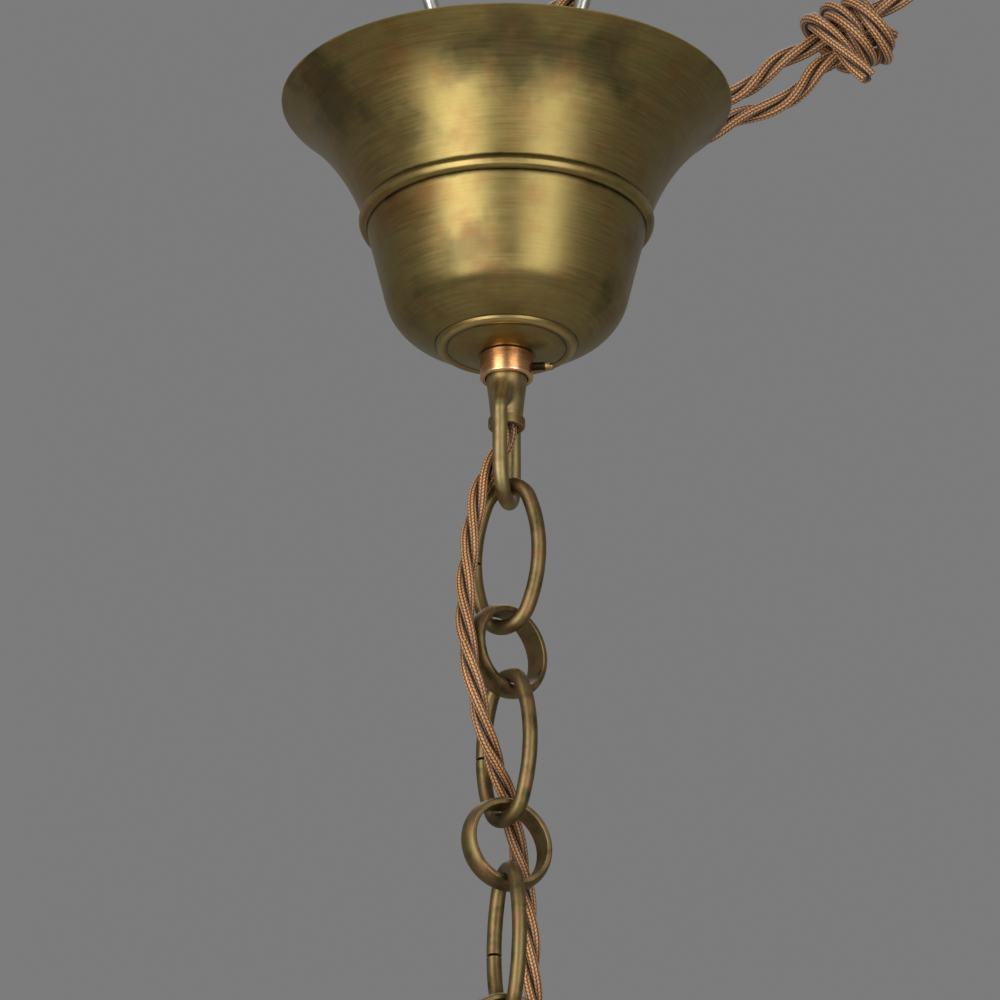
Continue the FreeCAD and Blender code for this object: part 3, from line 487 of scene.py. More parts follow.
# Lead from the tube's bush to the hank, and the hank itself, on one line
lead = {
    "route": [(0.0, 0.0, -62.0), (0.0, 0.0, -57.0), (1.6, 0.6, -51.0), (5.8, 2.4, -43.0), (12.5, 5.2, -34.0),
              (21.5, 9.0, -25.5), (33.0, 13.3, -20.0), (47.0, 18.2, -17.0), (64.0, 23.8, -16.0), (82.0, 29.4, -14.2)],
    "cutX": 40.0, "phase": 0.6}
hank = {
    "waist": (91.9, 32.8, -33.2), "rise": 30.5, "strandMean": 4.6, "strandSwing": 1.2, "swell": 30.0,
    "lowerEnd": 45.0, "upperEnd": 34.0, "upperRound": 7.0, "wrapStart": 16.0, "wrapDip": 21.0, "setback": 1.2,
    "wrapRadius": 9.8, "wrapPitch": 6.6, "wrapTurns": 2.25, "wrapTilt": 0.24, "tail": 18.0, "sag": 3.2,
    "leadEnd": 10.0}


def hankPoints(h):
    rise = math.radians(h["rise"])
    along = Vector((math.cos(rise), 0, math.sin(rise)))
    above = Vector((-math.sin(rise), 0, math.cos(rise)))

    def at(down, up, front=0.0):
        return Vector(h["waist"]) - along * down + above * up + Vector((0, -front, 0))

    def strand(down):
        return h["strandMean"] - h["strandSwing"] * math.cos(2 * math.pi * max(down, 0) / h["swell"])

    def strandAt(down, side):
        return at(down, side * strand(down) - h["sag"] * math.sin(math.pi * down / h["lowerEnd"]) ** 2)

    waistR = strand(0)
    lowerR = strand(h["lowerEnd"])
    upperMid = waistR + h["upperRound"]
    firstDown = -h["wrapStart"] - h["setback"]
    start = at(flex["diameter"] - h["upperEnd"], waistR + 2 * h["upperRound"])
    points = [start - along * h["leadEnd"], start]
    for step in range(7):    # over the upper end
        angle = math.pi * step / 6
        points.append(at(-h["upperEnd"] - h["upperRound"] * math.sin(angle),
                         upperMid + h["upperRound"] * math.cos(angle)))
    points.append(at(-h["upperEnd"] / 2, waistR))
    points += [strandAt(h["lowerEnd"] * step / 8, 1) for step in range(9)]    # down the upper strand
    for step in range(1, 8):    # round the lower end
        angle = math.pi * step / 8
        points.append(at(h["lowerEnd"] + lowerR * math.sin(angle), lowerR * math.cos(angle)))
    points += [strandAt(h["lowerEnd"] * (1 - step / 8), -1) for step in range(9)]    # back up the lower strand
    points.append(at(-h["wrapStart"], -waistR))
    for step in range(1, 8):    # swing out into the wraps
        share = step / 8
        turn = math.pi * (1 + share ** 2)
        ease = share ** 2 * (3 - 2 * share)
        radius = waistR + (h["wrapRadius"] - waistR) * ease
        dip = h["wrapDip"] * share * (1 - share) ** 2 + h["wrapPitch"] * share ** 2 * (1 - share)
        up = radius * math.cos(turn)
        points.append(at(-h["wrapStart"] - dip + (h["wrapTilt"] * up - h["setback"]) * ease, up,
                         radius * math.sin(turn)))
    steps = round(h["wrapTurns"] * 16)
    for step in range(steps + 1):    # wraps, sixteen points a turn
        share = step / steps
        turn = 2 * math.pi * h["wrapTurns"] * share
        up = h["wrapRadius"] * math.cos(turn)
        points.append(at(firstDown + h["wrapPitch"] * h["wrapTurns"] * share + h["wrapTilt"] * up, up,
                         h["wrapRadius"] * math.sin(turn)))
    climb = (h["wrapPitch"] / (2 * math.pi * h["wrapRadius"]) - h["wrapTilt"]) * h["tail"]
    points.append(at(firstDown + h["wrapPitch"] * h["wrapTurns"] + climb, -h["tail"], h["wrapRadius"]))
    return points


spareLine = cordLine("spareLine", lead["route"] + hankPoints(hank))
sparePoints = linePoints(spareLine)
spareShares, spareLength = shares(sparePoints)
hankStart = hankPoints(hank)[1] * mm
cutIndex = next(i for i, p in enumerate(sparePoints) if p.x > lead["cutX"] * mm)
endIndex = min(range(len(sparePoints)), key=lambda i: (sparePoints[i] - hankStart).length)
spans = [("flexLeadLow", 0, cutIndex), ("flexLeadHigh", cutIndex, endIndex),
         ("flexHank", endIndex, len(sparePoints) - 1)]
spare = {}
for name, first, last in spans:
    spare[name] = flexPiece(name, spareLine, spareShares[first], spareShares[last], lead["phase"],
                            "flex_hank" if name == "flexHank" else "flex_lead")
drop(spareLine)
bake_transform(spare["flexLeadLow"])
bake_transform(spare["flexLeadHigh"])
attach(spare["flexHank"], "canopy")

# Flex along the chain, cut where it goes from one link to the next
chainFlex = {
    "route": [(0.0, 0.0, -168.6), (0.0, 0.0, -172.0), (-1.8, -0.8, -176.4), (-4.6, -2.0, -181.4), (-7.6, -3.4, -188.6),
              (-9.5, -5.2, -199.0), (-11.1, -7.8, -213.0), (-12.1, -11.0, -228.0), (-11.2, -13.8, -243.0),
              (-8.6, -12.6, -256.0), (-6.0, -7.8, -267.0), (-2.4, 0.2, -274.5), (0.9, 8.2, -282.0),
              (2.9, 13.2, -293.0), (5.2, 13.2, -306.0), (6.5, 10.6, -319.5), (6.9, 10.2, -332.5),
              (7.6, 12.4, -345.0), (8.0, 13.6, -356.0), (7.9, 11.8, -365.0), (6.6, 7.6, -372.0),
              (3.9, 3.6, -377.2), (1.3, 1.0, -380.4), (0.0, 0.0, -384.0), (0.0, 0.0, -386.988)],
    "phase": 2.0,
    "cuts": [-210.7, -242.0, -272.0, -302.0, -332.0, -362.0],
    "bodies": ["base", "oval_1", "ring_1", "oval_2", "ring_2", "oval_3", "ring_3", "lantern"],
    "blends": [(-172, -206), (-216, -240), (-244, -268), (-276, -300), (-304, -328), (-336, -360), (-364, -380)]}
chainLine = cordLine("chainLine", chainFlex["route"])
chainPoints = linePoints(chainLine)
chainShares, chainLength = shares(chainPoints)
edges = [0] + [next(i for i, p in enumerate(chainPoints) if p.z <= level * mm) for level in chainFlex["cuts"]]
edges.append(len(chainPoints) - 1)
for index, (high, low) in enumerate(chainFlex["blends"]):
    start, end = [chainShares[edge] for edge in edges[index:index + 2]]
    made = flexPiece("chainFlex%d" % (index + 1), chainLine, start, end, chainFlex["phase"], "chain_flex")
    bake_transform(made)
drop(chainLine)
stemFlex = {"route": [(0, 0, -62.0), (0, 0, -97.0), (0, 0, -133.0), (0, 0, -168.6)], "phase": 0.0}
stemLine = cordLine("stemLine", stemFlex["route"])
flexPiece("stemFlex", stemLine, 0.0, 1.0, stemFlex["phase"], "stem_flex", "base")
drop(stemLine)
print("flex laid, %.0f mm along the chain" % (chainLength * 1000))

# Turned pieces; the swells are the lengths of the slight unevenness of what is spun or cast
turning = {"longSwell": 17.0, "shortSwell": 7.0}


def arcRun(start, end, radius, count, crest=0.0):
    # Points after start on an arc to end; a positive radius turns left, and crest is the wear at its middle
    first = Vector(start[:2])
    last = Vector(end[:2])
    chord = last - first
    aside = Vector((-chord.y, chord.x)).normalized()
    reach = math.sqrt(max(radius ** 2 - chord.length_squared / 4, 0))
    centre = (first + last) / 2 + aside * math.copysign(reach, radius)
    begin = math.atan2(first.y - centre.y, first.x - centre.x)
    sweep = 2 * math.asin(min(chord.length / 2 / abs(radius), 1)) * (1 if radius > 0 else -1)
    points = []
    for step in range(1, count + 1):
        angle = begin + sweep * step / count
        points.append((centre.x + abs(radius) * math.cos(angle), centre.y + abs(radius) * math.sin(angle),
                       crest * math.sin(math.pi * step / count)))
    return points


def softened(corners, size, spread=0.8, rub=1.0):
    # Rounds each sharp corner of a closed outline; outer corners are rubbed, and inner ones get dark patina and
    # painted shade
    points = [Vector(corner[:2]) for corner in corners]
    wears = [corner[2] if len(corner) > 2 else 0.0 for corner in corners]
    area = sum(a.x * b.y - b.x * a.y for a, b in zip(points, points[1:] + points[:1]))
    result = []
    for i, here in enumerate(points):
        back = points[i - 1] - here
        ahead = points[(i + 1) % len(points)] - here
        turn = math.degrees((-back).angle(ahead, 0.0))
        if turn < 25 or here.x < 1e-6:
            result.append((here.x, here.y, wears[i]))
            continue
        outer = (back.y * ahead.x - back.x * ahead.y) * area > 0
        wear = rub if outer else -1.0
        trims = [min(size, 0.4 * side.length) for side in (back, ahead)]
        ends = [here + side.normalized() * trim for side, trim in zip((back, ahead), trims)]
        far = [here + side.normalized() * min(size + spread, 0.48 * side.length) for side in (back, ahead)]
        result.append((*far[0], wears[i]))
        for share in (0.0, 0.25, 0.5, 0.75, 1.0):
            place = ends[0] * (1 - share) ** 2 + here * 2 * share * (1 - share) + ends[1] * share ** 2
            result.append((*place, wear))
        result.append((*far[1], wears[i]))
    return result


def shapeObject(name, shape, toMetres=True):
    if toMetres:
        bmesh.ops.scale(shape, vec=(mm, mm, mm), verts=shape.verts)
    mesh = bpy.data.meshes.new(name)
    shape.to_mesh(mesh)
    shape.free()
    return newObject(name, mesh)


def turnedPiece(name, outline, steps, place=None, thread=None, uneven=0.0):
    # Turns a closed outline of (radius, height, wear and shade) round Z
    outline = [(*corner, 0.0)[:3] for corner in outline]
    shape = bmesh.new()
    wear = shape.verts.layers.float.new("wear")
    rows = []
    for step in range(steps):
        angle = 2 * math.pi * step / steps
        row = []
        for radius, height, worn in outline:
            if thread and thread["low"] < height < thread["high"] and radius > thread["inside"]:
                wave = (height / thread["pitch"] - step / steps) % 1.0
                radius -= thread["depth"] * (1 - abs(2 * wave - 1))
            vertex = shape.verts.new((radius * math.cos(angle), radius * math.sin(angle), height))
            vertex[wear] = worn
            row.append(vertex)
        rows.append(row)
    count = len(outline)
    for here, after in zip(rows, rows[1:] + rows[:1]):
        for i in range(count):
            j = (i + 1) % count
            if outline[i][0] < 1e-6 and outline[j][0] < 1e-6:
                continue
            shape.faces.new((here[i], here[j], after[j], after[i]))
    bmesh.ops.remove_doubles(shape, verts=shape.verts, dist=1e-5)
    bmesh.ops.recalc_face_normals(shape, faces=shape.faces)
    if uneven:
        for vertex in shape.verts:
            swell = noise.noise(vertex.co / turning["longSwell"]) + 0.5 * noise.noise(vertex.co / turning["shortSwell"])
            flat = Vector((vertex.co.x, vertex.co.y, 0)).normalized()
            vertex.co += flat * swell * uneven
    if place:
        bmesh.ops.transform(shape, matrix=place, verts=shape.verts)
    return shapeObject(name, shape)


def atLevel(level, turn=0.0):
    return Matrix.Translation((0, 0, level)) @ Matrix.Rotation(math.radians(turn), 4, "Z")


canopy = {
    "base": -145.7, "hole": 5.3, "seat": 8.0, "dome": 50.2, "domeEdge": 27.35, "ringIn": 17.3, "ringOut": 20.3,
    "ringRound": 1.9, "foot": (35.06, 18.41), "corner": 18.0, "top": (40.2, 40.2), "beadRound": 2.282,
    "flareFoot": (41.3, 44.5), "flare": 80.0, "rim": (65.0, 80.7), "rimEdge": 1.6, "wall": 1.2, "steps": 240,
    "uneven": 0.06}


def canopyOutline(c):
    # Up the outside from the hole to the rim, then down the inside
    wall, dome = c["wall"], c["dome"]
    middle = math.sqrt(dome ** 2 - c["seat"] ** 2)

    def onDome(radius, depth=0.0):
        inner = 1 - depth / dome
        return radius * inner, middle - math.sqrt(dome ** 2 - radius ** 2) * inner

    ringIn, ringOut, edge = [onDome(c[key]) for key in ("ringIn", "ringOut", "domeEdge")]
    topIn, flareIn, footIn = [(c[key][0] - wall, c[key][1]) for key in ("top", "flareFoot", "foot")]
    rimX, rimUp = c["rim"]
    rimIn = (rimX - c["rimEdge"], rimUp)
    outline = [(c["hole"], 0.0, -0.3), (c["seat"], 0.0, -0.6)]
    outline += arcRun(outline[-1], ringIn, dome, 8)
    outline[-1] = (*ringIn, -0.8)
    outline += arcRun(ringIn, ringOut, c["ringRound"], 10, 0.8)
    outline[-1] = (*ringOut, -0.8)
    outline += arcRun(ringOut, edge, dome, 8)
    outline += arcRun(edge, c["foot"], c["corner"], 20)
    for step in range(1, 21):    # side of the bowl, with a trace of painted shade under the bead
        outline.append((*Vector(c["foot"]).lerp(Vector(c["top"]), step / 20), -0.35 if step == 19 else 0.0))
    outline[-1] = (*c["top"], -1.0)
    outline += arcRun(c["top"], c["flareFoot"], c["beadRound"], 14, 0.62)
    outline[-1] = (*c["flareFoot"], -1.0)
    outline += arcRun(c["flareFoot"], c["rim"], -c["flare"], 44)
    outline[-1] = (rimX, rimUp, 0.9)
    outline += [(rimX - 0.12, rimUp, 0.9), (rimIn[0] + 0.2, rimUp, 0.7), (*rimIn, 0.3)]
    outline += arcRun(rimIn, flareIn, c["flare"] + wall, 36)
    outline += [(*topIn, 0.0), (*footIn, 0.0)]
    outline += arcRun(footIn, onDome(c["domeEdge"], wall), -(c["corner"] - wall), 16)
    outline += arcRun(outline[-1], onDome(c["seat"], wall), -(dome - wall), 12)
    outline.append((c["hole"], outline[-1][1], 0.0))
    return outline


shell = turnedPiece("canopyShell", canopyOutline(canopy), canopy["steps"], atLevel(canopy["base"]),
                    uneven=canopy["uneven"])
finishPiece(shell, spunBrass, "canopy", "canopy", smooth=40)

# Collar, with a drilled hole for its set screw
collar = {"low": -153.3, "height": 7.6, "radius": 7.65, "bore": 6.25, "edge": 0.4, "corner": (0.18, 0.5),
          "holeSlack": 0.05, "drillPast": 2.0, "steps": 128}
# The screw's neck and crown are (inset, distance, wear and shade), measured from where its tip begins and
# from its end
setScrew = {"turn": -7.0, "level": -149.5, "radius": 1.3, "inner": 6.35, "outer": 13.4, "tip": 2.4, "lead": 0.3,
            "thread": {"pitch": 0.6, "depth": 0.2}, "slotWide": 0.6, "slotDeep": 0.8, "steps": 48,
            "neck": [(0.22, 0.0, -0.8), (0.22, 0.12, -0.8), (0.04, 0.22, 0.5), (0.0, 0.4, 0.8)],
            "crown": [(0.0, 0.3, 0.8), (0.08, 0.1, 1.0), (0.25, 0.0, 0.8)]}
screwPlace = atLevel(setScrew["level"], setScrew["turn"]) @ Matrix.Rotation(math.pi / 2, 4, "Y")


def cutWith(made, tool, operation="DIFFERENCE"):
    cut = made.modifiers.new("cut", "BOOLEAN")
    cut.operation = operation
    cut.object = tool
    cut.solver = "EXACT"
    settle(made)
    drop(tool)
    return made


def collarRing(c, s):
    edge, top, radius, bore = c["edge"], c["height"], c["radius"], c["bore"]
    made = turnedPiece("collarRing", softened([
        (bore, 0), (radius - edge, 0), (radius, edge), (radius, top * 0.5), (radius, top - edge),
        (radius - edge, top), (bore, top)], *c["corner"]), c["steps"], atLevel(c["low"]))
    wide, start, end = s["radius"] + c["holeSlack"], bore - c["drillPast"], radius + c["drillPast"]
    drill = turnedPiece("drill", [(0, start), (wide, start), (wide, end), (0, end)], 40, screwPlace)
    return cutWith(made, drill)


def screwPiece(s):
    r, inner, outer = s["radius"], s["inner"], s["outer"]
    tip = outer - s["tip"]
    count = round((tip - inner) / s["thread"]["pitch"] * 8)
    outline = [(0, inner, 0.0), (r - s["lead"], inner, 0.0)]
    # The threaded shaft is darkened with dark oxide and painted shade
    outline += [(r, inner + s["lead"] + (tip - 0.1 - inner - s["lead"]) * i / count, -0.9) for i in range(count + 1)]
    outline += [(r - inset, tip + up, wear) for inset, up, wear in s["neck"]]
    outline += [(r - inset, outer - down, wear) for inset, down, wear in s["crown"]]
    outline.append((0, outer, 0.4))
    thread = dict(s["thread"], low=inner + 0.2, high=tip - 0.05, inside=r - 0.01)
    made = turnedPiece("setScrew", outline, s["steps"], screwPlace, thread)
    blade = bmesh.new()
    bmesh.ops.create_cube(blade, size=1.0)
    sizes = Matrix.Diagonal((s["slotWide"], 4 * r, 2 * s["slotDeep"], 1.0))
    bmesh.ops.transform(blade, matrix=screwPlace @ Matrix.Translation((0, 0, outer)) @ sizes, verts=blade.verts)
    return cutWith(made, shapeObject("slot", blade))


finishPiece(collarRing(collar, setScrew), collarBrass, "canopy_collar", "collar")
finishPiece(screwPiece(setScrew), chainBrass, "collar_screw", "screw")
print("canopy and collar turned")

# Bushes, tube and washer
stemMouth, tubeTop, lanternMouth = -165.8, -64.8, -389.788
bush = {"hole": 3.15, "flange": 5.3, "height": 2.8, "spigotLength": 3.0, "round": 0.7, "corner": (0.15, 0.3),
        "steps": 72}


def bushPiece(name, mouth, spigot, opensUp, material, node, body):
    b = bush
    flange, hole, bend = b["flange"], b["hole"], b["round"]
    sign = 1 if opensUp else -1
    corners = [(hole, -b["spigotLength"], 0.0), (spigot, -b["spigotLength"], 0.0), (spigot, -0.03, 0.0),
               (flange, 0.0, 0.0), (flange, b["height"] - bend, 0.0)]
    corners += arcRun(corners[-1], (flange - bend, b["height"]), bend, 6, 0.8)
    corners += [(hole + bend, b["height"], 0.0)]
    corners += arcRun(corners[-1], (hole, b["height"] - bend), bend, 6, 0.5)
    outline = [(radius, sign * height, wear) for radius, height, wear in softened(corners, *b["corner"])]
    finishPiece(turnedPiece(name, outline, b["steps"], atLevel(mouth)), material, node, body)


bushPiece("stemBush", stemMouth, 3.67, False, chainBrass, "stem_bush", "base")
bushPiece("tubeBush", tubeTop, 3.97, True, nylon, "tube_bush", "base")
bushPiece("lanternBush", lanternMouth, 3.67, True, chainBrass, "lantern_bush", "lantern")

tube = {"top": tubeTop, "low": -152.3, "radius": 5.0, "bore": 4.0, "pitch": 1.0, "depth": 0.5, "perPitch": 6,
        "steps": 56}


def tubePiece(t):
    low, top, radius = t["low"], t["top"], t["radius"]
    count = round((top - low) / t["pitch"] * t["perPitch"])
    wall = [(radius, low + (top - low) * i / count) for i in range(count + 1)]
    wall[0], wall[-1] = (radius - t["depth"], low), (radius - t["depth"], top)
    thread = {"low": low + 0.01, "high": top - 0.01, "inside": t["bore"] + 0.6, "pitch": t["pitch"],
              "depth": t["depth"]}
    return turnedPiece("stemTube", [(t["bore"], low)] + wall + [(t["bore"], top)], t["steps"], None, thread)


finishPiece(tubePiece(tube), zincSteel, "stem_tube", "base", smooth=50)

washer = {"level": -72.0, "hole": 5.2, "radius": 8.0, "thick": 1.2, "corner": (0.25, 0.4), "steps": 72}
washerCorners = [(washer[across], up) for across, up in (
    ("hole", 0), ("radius", 0), ("radius", washer["thick"]), ("hole", washer["thick"]))]
made = turnedPiece("tubeWasher", softened(washerCorners, *washer["corner"]), washer["steps"], atLevel(washer["level"]))
finishPiece(made, zincSteel, "tube_washer", "base")

# Bent wires
bending = {"sides": 28, "waverSize": 5.0}


def wirePiece(name, points, radius, waver, material, place, sides=bending["sides"], taper=()):
    path, spline = newLine(name + "Path", "POLY", [place @ Vector(point) for point in points])
    for point, scale in zip(spline.points, taper):
        point.radius = scale
    made = meshFromTree(name, bentWire, {
        "Path": path, "Radius": radius * mm, "Sides": sides, "Waver": waver * mm,
        "Waver Size": bending["waverSize"] * mm, "Material": material})
    drop(path)
    return made


def roundRun(centre, radius, begin, end, count):
    # Points of an arc in the XZ plane, angles in degrees from +X
    places = []
    for step in range(count + 1):
        angle = math.radians(begin + (end - begin) * step / count)
        places.append((centre[0] + radius * math.cos(angle), 0.0, centre[1] + radius * math.sin(angle)))
    return places


def bothSides(right):
    # A half path in XZ from its foot to the middle, then mirrored back down
    return right + [(-x, 0.0, z) for x, y, z in reversed(right[:-1])]


# Oval links: wire bent round four arcs, closed by a butt seam in one side, whose ends are filed to a groove
oval = {"length": 48.2, "width": 26.3, "wire": 4.3, "endRound": 8.0, "seam": (-0.5, -0.25), "filed": 0.3,
        "filedTo": 0.76, "waver": 0.14, "links": [(-208.4, -34.0), (-267.659, -53.0), (-326.956, -71.0)]}


def ovalPoints(o):
    longHalf = o["length"] / 2 - o["wire"] / 2
    shortHalf = o["width"] / 2 - o["wire"] / 2
    endMid = longHalf - o["endRound"]
    sideR = (endMid ** 2 + shortHalf ** 2 - o["endRound"] ** 2) / (2 * (shortHalf - o["endRound"]))
    sideMid = sideR - shortHalf
    join = math.degrees(math.atan2(endMid, sideMid))
    seamLow, seamHigh = [math.degrees(math.asin(z / sideR)) for z in o["seam"]]
    points = roundRun((sideMid, 0), sideR, 180 - seamLow, 180 + join, 28)
    points += roundRun((0, -endMid), o["endRound"], 180 + join, 360 - join, 40)[1:]
    points += roundRun((-sideMid, 0), sideR, -join, join, 56)[1:]
    points += roundRun((0, endMid), o["endRound"], join, 180 - join, 40)[1:]
    points += roundRun((sideMid, 0), sideR, 180 - join, 180 - seamHigh, 28)[1:]
    first, second, beforeLast, last = [Vector(points[i]) for i in (0, 1, -2, -1)]
    points.insert(1, tuple(first + (second - first).normalized() * o["filed"]))
    points.insert(-1, tuple(last + (beforeLast - last).normalized() * o["filed"]))
    return points, [o["filedTo"]] + [1.0] * (len(points) - 2) + [o["filedTo"]]


points, taper = ovalPoints(oval)
for index, (level, turn) in enumerate(oval["links"], 1):
    made = wirePiece("ovalLink%d" % index, points, oval["wire"] / 2, oval["waver"], chainBrass, atLevel(level, turn),
                     taper=taper)
    finishPiece(made, chainBrass, "oval_link_%d" % index, "oval_%d" % index)

# Ring links: a cast band, flat inside and domed outside
ring = {"radius": 13.9, "thick": 2.6, "edge": 1.3, "width": 6.8, "corner": (0.28, 0.6, 0.5), "uneven": 0.04,
        "steps": 160, "links": [(-237.976, 43.0), (-297.308, 28.0), (-356.666, 20.0)]}


def ringOutline(r):
    inside = r["radius"] - r["thick"]
    half = r["width"] / 2
    crown = r["thick"] - r["edge"]
    dome = (half ** 2 + crown ** 2) / (2 * crown)
    corners = [(inside, half, 0.0), (inside, 0.0, 0.0), (inside, -half, 0.0), (inside + r["edge"], -half, 0.0)]
    corners += arcRun(corners[-1], (inside + r["edge"], half), dome, 20)
    return softened(corners, *r["corner"])


for index, (level, turn) in enumerate(ring["links"], 1):
    place = atLevel(level, turn - 90) @ Matrix.Rotation(math.pi / 2, 4, "Y")
    made = turnedPiece("ringLink%d" % index, ringOutline(ring), ring["steps"], place, uneven=ring["uneven"])
    finishPiece(made, chainBrass, "ring_link_%d" % index, "ring_%d" % index)
print("links made")

# Loop stem and lantern loop: each a turned body with a bent wire brazed on, blended into one casting and then bored
loop = {"wire": 4.4, "half": 8.6, "reach": 27.5, "root": (0.6, -13.5), "rootScale": 1.7, "rootFade": 1.0,
        "shoulder": 0.8, "shoulderRound": 5.0, "waver": 0.1, "voxel": 0.3, "smoothing": 12, "blending": 150,
        "blendFrom": (2.0, 6.0), "bodySteps": 96, "boreSteps": 72}
loopEnds = {
    "loopStem": {
        "level": stemMouth, "turn": 77.0, "sign": 1, "node": "loop_stem", "body": "base",
        "profile": [(0, 0), (4.5, 0), (6.05, 12.4), (6.15, 12.8), (6.15, 19.5), (0, 19.5)],
        "bore": [(0, -0.5), (3.7, -0.5), (3.7, 3.0), (3.4, 3.0), (3.4, 13.5), (5.03, 13.5), (5.03, 20.5), (0, 20.5)]},
    "lanternLoop": {
        "level": lanternMouth, "turn": -70.0, "sign": -1, "node": "lantern_loop", "body": "lantern",
        "profile": [(0, -21.0), (7.0, -21.0), (7.6, -20.4), (7.6, -9.0), (4.5, 0), (0, 0)],
        "bore": [(0, -22.0), (5.03, -22.0), (5.03, -11.0), (3.4, -11.0), (3.4, -3.0), (3.7, -3.0), (3.7, 0.5),
                 (0, 0.5)]}}


def loopPoints(p, sign):
    # Shoulder, leg and half of the round end on one side, then the other side back
    rootX, rootUp = p["root"]
    radius = p["wire"] / 2
    half = p["half"]
    endMid = p["reach"] - radius - half
    root = Vector((rootX, rootUp))
    knee = Vector((half, -p["shoulder"]))
    lean = (knee - root).normalized()
    turn = math.atan2(lean.x, lean.y)
    trim = p["shoulderRound"] * math.tan(turn / 2)
    begin = knee - lean * trim
    right = [root.lerp(begin, step / 8) for step in range(9)]
    middle = Vector((half - p["shoulderRound"], knee.y + trim))
    for step in range(1, 13):
        angle = turn * (1 - step / 12)
        right.append(middle + Vector((math.cos(angle), -math.sin(angle))) * p["shoulderRound"])
    right += [Vector((half, right[-1].y)).lerp(Vector((half, endMid)), step / 8) for step in range(1, 9)]
    for step in range(1, 25):
        angle = math.pi / 2 * step / 24
        right.append(Vector((half * math.cos(angle), endMid + half * math.sin(angle))))
    fade = p["rootFade"]
    thins = [1 + (p["rootScale"] - 1) * max((-place.y - fade) / (-rootUp - fade), 0.0) for place in right]
    return bothSides([(place.x, 0.0, -sign * place.y) for place in right]), thins + thins[-2::-1]


def loopPiece(name, p, end):
    place = atLevel(end["level"], end["turn"])
    body = turnedPiece(name + "Body", end["profile"], p["bodySteps"], place)
    points, taper = loopPoints(p, end["sign"])
    wire = wirePiece(name + "Wire", points, p["wire"] / 2, p["waver"], chainBrass, place, taper=taper)
    bore = turnedPiece(name + "Bore", end["bore"], p["boreSteps"], place)
    shape = bmesh.new()
    for part in (body, wire):
        shape.from_mesh(part.data)
    made = shapeObject(name, shape, toMetres=False)
    drop(body, wire)
    skin = made.modifiers.new("skin", "REMESH")
    skin.mode = "VOXEL"
    skin.voxel_size = p["voxel"] * mm
    settle(made)
    # The wire runs out of the body in a long soft curve, so that part is smoothed far more than the rest
    inside = place.inverted()
    weights = made.vertex_groups.new(name="blend")
    low, high = p["blendFrom"]
    for vertex in made.data.vertices:
        depth = end["sign"] * (inside @ (vertex.co / mm)).z
        weights.add([vertex.index], min(max((depth - low) / (high - low), 0.0), 1.0), "REPLACE")
    for rounds, group in ((p["smoothing"], ""), (p["blending"], "blend")):
        soft = made.modifiers.new("soft", "SMOOTH")
        soft.factor = 0.5
        soft.iterations = rounds
        soft.vertex_group = group
    settle(made)
    made.vertex_groups.clear()
    cutWith(made, bore)
    finishPiece(made, loopBrass, end["node"], end["body"])


for name, end in loopEnds.items():
    loopPiece(name, loop, end)
print("loops blended")

# Stirrup: plated rod bent to a pear-shaped bail, its legs held in a plate by nuts
stirrup = {"rod": 4.3, "bail": 24.2, "legX": 12.5, "plateTop": -72.0, "legRise": 5.0, "bend": 8.0, "foot": -79.4,
           "waver": 0.05, "sides": 32}


def stirrupPoints(s):
    bail = s["bail"]
    middle = Vector((0, s["rod"] / 2 - bail))
    knee = Vector((s["legX"], s["plateTop"] + s["legRise"]))
    toMiddle = middle - knee
    lean = math.asin(bail / toMiddle.length) - math.atan2(s["legX"], toMiddle.y)
    along = Vector((math.sin(lean), math.cos(lean)))
    touch = knee + along * math.sqrt(toMiddle.length ** 2 - bail ** 2)
    trim = s["bend"] * math.tan(lean / 2)
    right = [Vector((s["legX"], s["foot"])), Vector((s["legX"], knee.y - trim))]
    centre = Vector((s["legX"] + s["bend"], knee.y - trim))
    for step in range(1, 9):
        angle = lean * step / 8
        right.append(centre + Vector((-math.cos(angle), math.sin(angle))) * s["bend"])
    right += [right[-1].lerp(touch, step / 10) for step in range(1, 11)]
    begin = math.atan2(touch.y - middle.y, touch.x - middle.x)
    for step in range(1, 41):
        angle = begin + (math.pi / 2 - begin) * step / 40
        right.append(middle + Vector((math.cos(angle), math.sin(angle))) * bail)
    return bothSides([(place.x, 0.0, place.y) for place in right])


rod = wirePiece("stirrupRod", stirrupPoints(stirrup), stirrup["rod"] / 2, stirrup["waver"], zincSteel, atLevel(0),
                stirrup["sides"])
finishPiece(rod, zincSteel, "stirrup", "base")

# Hexagon nuts with chamfered corners
nuts = {
    "rodNuts": {"flats": 7.0, "height": 3.2, "bore": 2.18, "node": "rod_nuts",
                "places": [(12.5, -72.0), (12.5, -78.2), (-12.5, -72.0), (-12.5, -78.2)]},
    "tubeNutUpper": {"flats": 14.0, "height": 4.0, "bore": 5.03, "node": "tube_nut_upper", "places": [(0.0, -70.8)]},
    "tubeNutLower": {"flats": 14.0, "height": 4.0, "bore": 5.03, "node": "tube_nut_lower", "places": [(0.0, -79.0)]}}
nutCut = {"boreChamfer": 0.35, "faceShare": 0.98, "fall": 0.62, "steps": 96}


def nutShape(n, cut):
    # A chamfered disc cut to six flats
    bore, top, chamfer = n["bore"], n["height"], cut["boreChamfer"]
    corner = n["flats"] / math.sqrt(3)
    face = n["flats"] / 2 * cut["faceShare"]
    fall = (corner - n["flats"] / 2) * cut["fall"]
    disc = turnedPiece("nutDisc", [
        (bore, chamfer), (bore + chamfer, 0), (face, 0), (corner, fall), (corner, top - fall), (face, top),
        (bore + chamfer, top), (bore, top - chamfer)], cut["steps"])
    prism = bmesh.new()
    bmesh.ops.create_cone(prism, cap_ends=True, segments=6, radius1=corner * mm, radius2=corner * mm,
                          depth=top * 2 * mm)
    return cutWith(disc, shapeObject("hexagon", prism, toMetres=False), "INTERSECT")


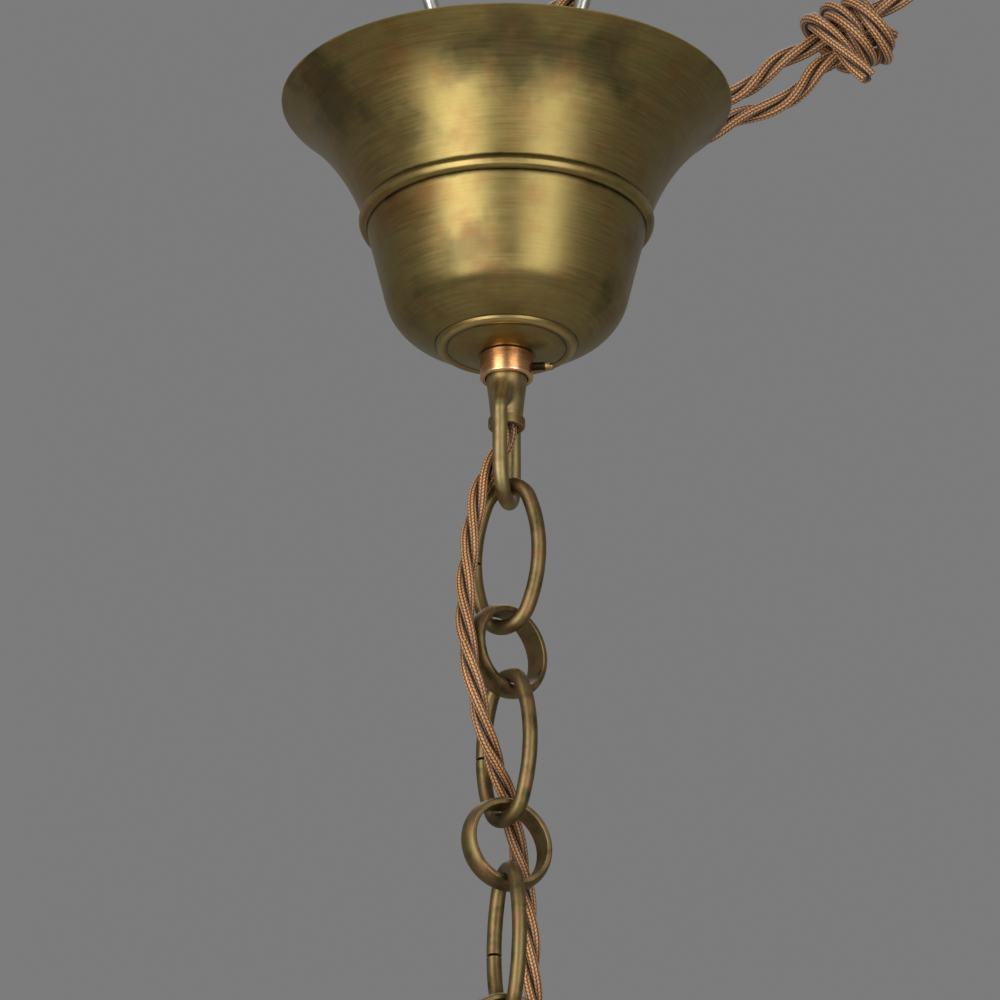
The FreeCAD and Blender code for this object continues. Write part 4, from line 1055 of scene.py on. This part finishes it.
for name, nut in nuts.items():
    shape = nutShape(nut, nutCut)
    spots = newObject(name + "Places", bpy.data.meshes.new(name + "Places"))
    spots.data.from_pydata([(x * mm, 0, z * mm) for x, z in nut["places"]], [], [])
    made = meshFromTree(name, nutsOnPlaces, {"Nut": shape, "Places": spots, "Material": zincSteel})
    drop(shape, spots)
    finishPiece(made, zincSteel, nut["node"], "base", smooth=25)

# The plate is right as it is, and only takes the zinc
plate = next(each for each in bpy.data.objects if each.get("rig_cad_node") == "stirrup_plate")
for slot in plate.material_slots:
    slot.material = zincSteel
print("stirrup and nuts made")

# Floor in matt pale paint, lamps and surroundings
room = {"floor": -2800.0, "reach": 12000.0, "paint": "#ECEBE7", "paintRoughness": 0.8, "surround": 0.2,
        "aim": -130.0, "lamps": [
            {"turn": -36.0, "lift": -5.0, "away": 2100.0, "wide": 1300.0, "tall": 3100.0, "power": 50.0},
            {"turn": 31.0, "lift": -5.0, "away": 2100.0, "wide": 1100.0, "tall": 3100.0, "power": 29.0},
            {"turn": 180.0, "lift": 60.0, "away": 2100.0, "wide": 1600.0, "tall": 1600.0, "power": 11.0}]}


def addRoom(r):
    mesh = bpy.data.meshes.new("floor")
    half, level = r["reach"] * mm, r["floor"] * mm
    mesh.from_pydata([(-half, -half, level), (half, -half, level), (half, half, level), (-half, half, level)], [],
                     [(0, 1, 2, 3)])
    paint, add = newMaterial("palePaint")
    endMaterial(paint, add, {"Base Color": linear(r["paint"]), "Roughness": r["paintRoughness"]})
    mesh.materials.append(paint)
    newObject("floor", mesh)
    world = bpy.data.worlds.new("surround")
    world.use_nodes = True
    scene.world = world
    back = world.node_tree.nodes["Background"]
    back.inputs["Color"].default_value = (r["surround"],) * 3 + (1.0,)
    back.inputs["Strength"].default_value = 1.0
    for index, lamp in enumerate(r["lamps"]):
        data = bpy.data.lights.new("softbox%d" % index, "AREA")
        data.shape = "RECTANGLE"
        data.size = lamp["wide"] * mm
        data.size_y = lamp["tall"] * mm
        data.energy = lamp["power"]
        box = newObject("softbox%d" % index, data)
        turn, lift = math.radians(lamp["turn"]), math.radians(lamp["lift"])
        toward = Vector((math.sin(turn) * math.cos(lift), -math.cos(turn) * math.cos(lift), math.sin(lift)))
        box.location = Vector((0, 0, r["aim"] * mm)) + toward * lamp["away"] * mm
        box.rotation_euler = (-toward).to_track_quat("-Z", "Y").to_euler()


addRoom(room)
scene.view_settings.view_transform = "Standard"
print("room and lamps set")
